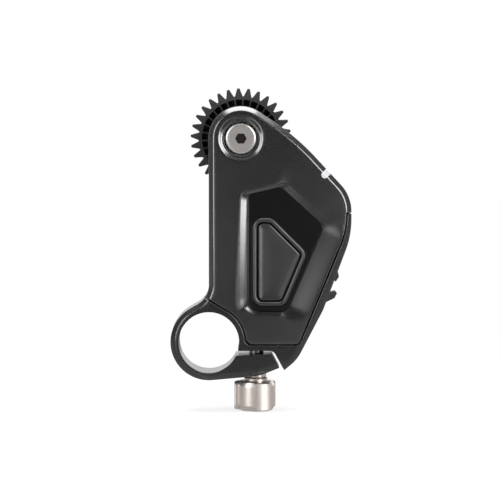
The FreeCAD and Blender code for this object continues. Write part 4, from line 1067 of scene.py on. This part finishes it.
# finishes for the nodes that keep their shape
innerSteel = turnedMetal("innerSteel", (0.55, 0.55, 0.56), 0.32, steelLines)
innerBrass = turnedMetal("innerBrass", (0.72, 0.55, 0.26), 0.3, steelLines)
innerIron = turnedMetal("innerIron", (0.22, 0.2, 0.19), 0.5, steelLines)
boardGreen = grainPlastic("boardGreen", (0.02, 0.1, 0.05), 0.4, finishes["key"]["grain"])
clipBlack = grainPlastic("clipBlack", (0.02, 0.02, 0.021), 0.48, finishes["gear"]["grain"])
screwBlack = turnedMetal("screwBlack", (0.12, 0.12, 0.125), 0.38, steelLines)
for shader, names in (
        (shellBlack, ("rear_cover",)),
        (screwBlack, ("case_screws", "gear_screw")),
        (clipBlack, ("button_switch", "switch_plunger", "port_tongue", "cable_clip", "motor_end_cap")),
        (boardGreen, ("circuit_board",)),
        (innerBrass, ("motor_pinion",)),
        (innerIron, ("motor_armature", "motor_magnet")),
        (innerSteel, ("board_screws", "port_shell", "gear_plate", "plate_screws", "idler_pins", "output_gear",
                      "idler_wheel_1", "idler_wheel_2", "motor_shaft", "motor_can", "motor_screws",
                      "bearing_outer_rings", "bearing_inner_rings", "bearing_balls", "output_shaft"))):
    for name in names:
        coat(frame["nodes"][name], shader)
print("stage: finishes given")

# floor, room, lights and camera: spans are in metres, and box places are azimuth, elevation, distance
studio = {
    "floorHalf": 3.0, "shadowShare": 0.3, "shadowReach": 0.06, "centre": (0.014, 0, 0.022),
    "dark": 0.01, "shine": 0.1, "shineSpan": (-0.62, -0.2), "foot": 0.35, "footSpan": (-0.09, -0.04),
    "side": 0.2, "sideSpan": (-0.9, -0.1), "back": 1.1, "backSpan": (0.3, 0.7),
    "glows": ({"radiance": 2.8, "start": (-0.9, -0.5), "end": (-0.24, -0.11)},
        {"radiance": 1.2, "start": (0.1, 0.25), "end": (0.45, 0.7)}),
    "glowHigh": (-0.02, 0.05), "highShare": 0.03, "glowNear": (-0.3, -0.13), "nearShare": 0.1,
    "boxes": {"rightStrip": {"place": (44, 16, 0.6), "size": (0.26, 0.5), "radiance": 9.0},
        "leftStrip": {"place": (-50, 16, 0.6), "size": (0.2, 0.5), "radiance": 6.3},
        "topBox": {"place": (180, 84, 0.5), "size": (0.5, 0.4), "radiance": 6.5}},
}
view = {
    "place": (0.008, -0.5105, 0.0507), "aim": (0.01025, -0.0055, 0.02307), "lens": 146.65,
    "sensor": 36, "clip": 0.01,
}


def sideGlow(kit, x, y):
    # the two brighter parts of the room in front, to the left and to the right of the middle
    side = x / (0 - y)
    left, right = [kit.ramp(side, glow["start"]) * (1 - kit.ramp(side, glow["end"])) * glow["radiance"]
                   for glow in studio["glows"]]
    return left + right


def makeFloor():
    half = studio["floorHalf"]
    level = cadLow.z
    floor = meshPiece("floor", [(-half, -half, level), (half, -half, level), (half, half, level),
                                (-half, half, level)], [(0, 1, 2, 3)])
    shader = Shader("floorWhite", (0.9, 0.9, 0.9), 0.9)
    x, y, _ = shader.axes(shader.coords)
    camera, glossy = [shader.node("ShaderNodeLightPath", output=name)
                      for name in ("Is Camera Ray", "Is Glossy Ray")]
    dx = x - knobX * mm
    away = (dx * dx + y * y) ** 0.5 / studio["shadowReach"]
    white = 1 - studio["shadowShare"] / (1 + away * away * away)
    glows = sideGlow(shader, x, y) * shader.ramp(y, studio["glowNear"], 1.0, studio["nearShare"])
    near = shader.ramp(y, studio["shineSpan"], studio["dark"], studio["shine"]) + glows
    near = near + shader.ramp(y, studio["footSpan"], 0.0, studio["foot"])
    glow = shader.node("ShaderNodeEmission", {
        "Color": (1, 1, 1, 1), "Strength": camera + glossy * near})
    mix = shader.node("ShaderNodeMixShader", {
        0: camera * white + glossy, 1: Value(shader.surface.outputs[0], shader), 2: glow})
    shader.plug(shader.tree.nodes["Material Output"].inputs["Surface"], mix)
    coat(floor, shader)


def makeWorld():
    # white for the camera; the room itself is darker in front and above
    world = bpy.data.worlds.new("studioAir")
    world.use_nodes = True
    scene.world = world
    world.node_tree.nodes.clear()
    air = Nodes(world.node_tree)
    x, y, z = air.axes(air.node("ShaderNodeTexCoord"))
    glows = sideGlow(air, x, y) * air.ramp(z, studio["glowHigh"], 1.0, studio["highShare"])
    room = air.ramp(y, studio["sideSpan"], studio["dark"], studio["side"]) + glows
    room = room + air.ramp(y, studio["backSpan"], 0.0, studio["back"])
    soft, white = [air.node("ShaderNodeBackground", {"Color": (1, 1, 1, 1), "Strength": strength})
                   for strength in (room, 1.0)]
    mix = air.node("ShaderNodeMixShader", {0: air.node("ShaderNodeLightPath"), 1: soft, 2: white})
    air.plug(world.node_tree.nodes.new("ShaderNodeOutputWorld").inputs["Surface"], mix)


def look(thing, place, aim):
    thing.location = place
    thing.rotation_euler = (Vector(aim) - Vector(place)).to_track_quat("-Z", "Y").to_euler()
    scene.collection.objects.link(thing)


def softbox(name, place, size, radiance):
    # an area light of a given brightness that faces the part: azimuth 0 is in front
    lamp = bpy.data.lights.new(name, "AREA")
    lamp.shape = "RECTANGLE"
    lamp.size, lamp.size_y = size
    lamp.energy = radiance * pi * size[0] * size[1]
    turn, up, distance = radians(place[0]), radians(place[1]), place[2]
    centre = studio["centre"]
    place = (centre[0] + distance * sin(turn) * cos(up), -distance * cos(turn) * cos(up),
             centre[2] + distance * sin(up))
    look(bpy.data.objects.new(name, lamp), place, centre)


makeFloor()
makeWorld()
for name, box in studio["boxes"].items():
    softbox(name, **box)
cameraData = bpy.data.cameras.new("camera")
cameraData.sensor_width = view["sensor"]
cameraData.lens = view["lens"]
cameraData.clip_start = view["clip"]
scene.camera = bpy.data.objects.new("camera", cameraData)
look(scene.camera, view["place"], view["aim"])
scene.view_settings.view_transform = "Standard"

print("stage: scene ready")
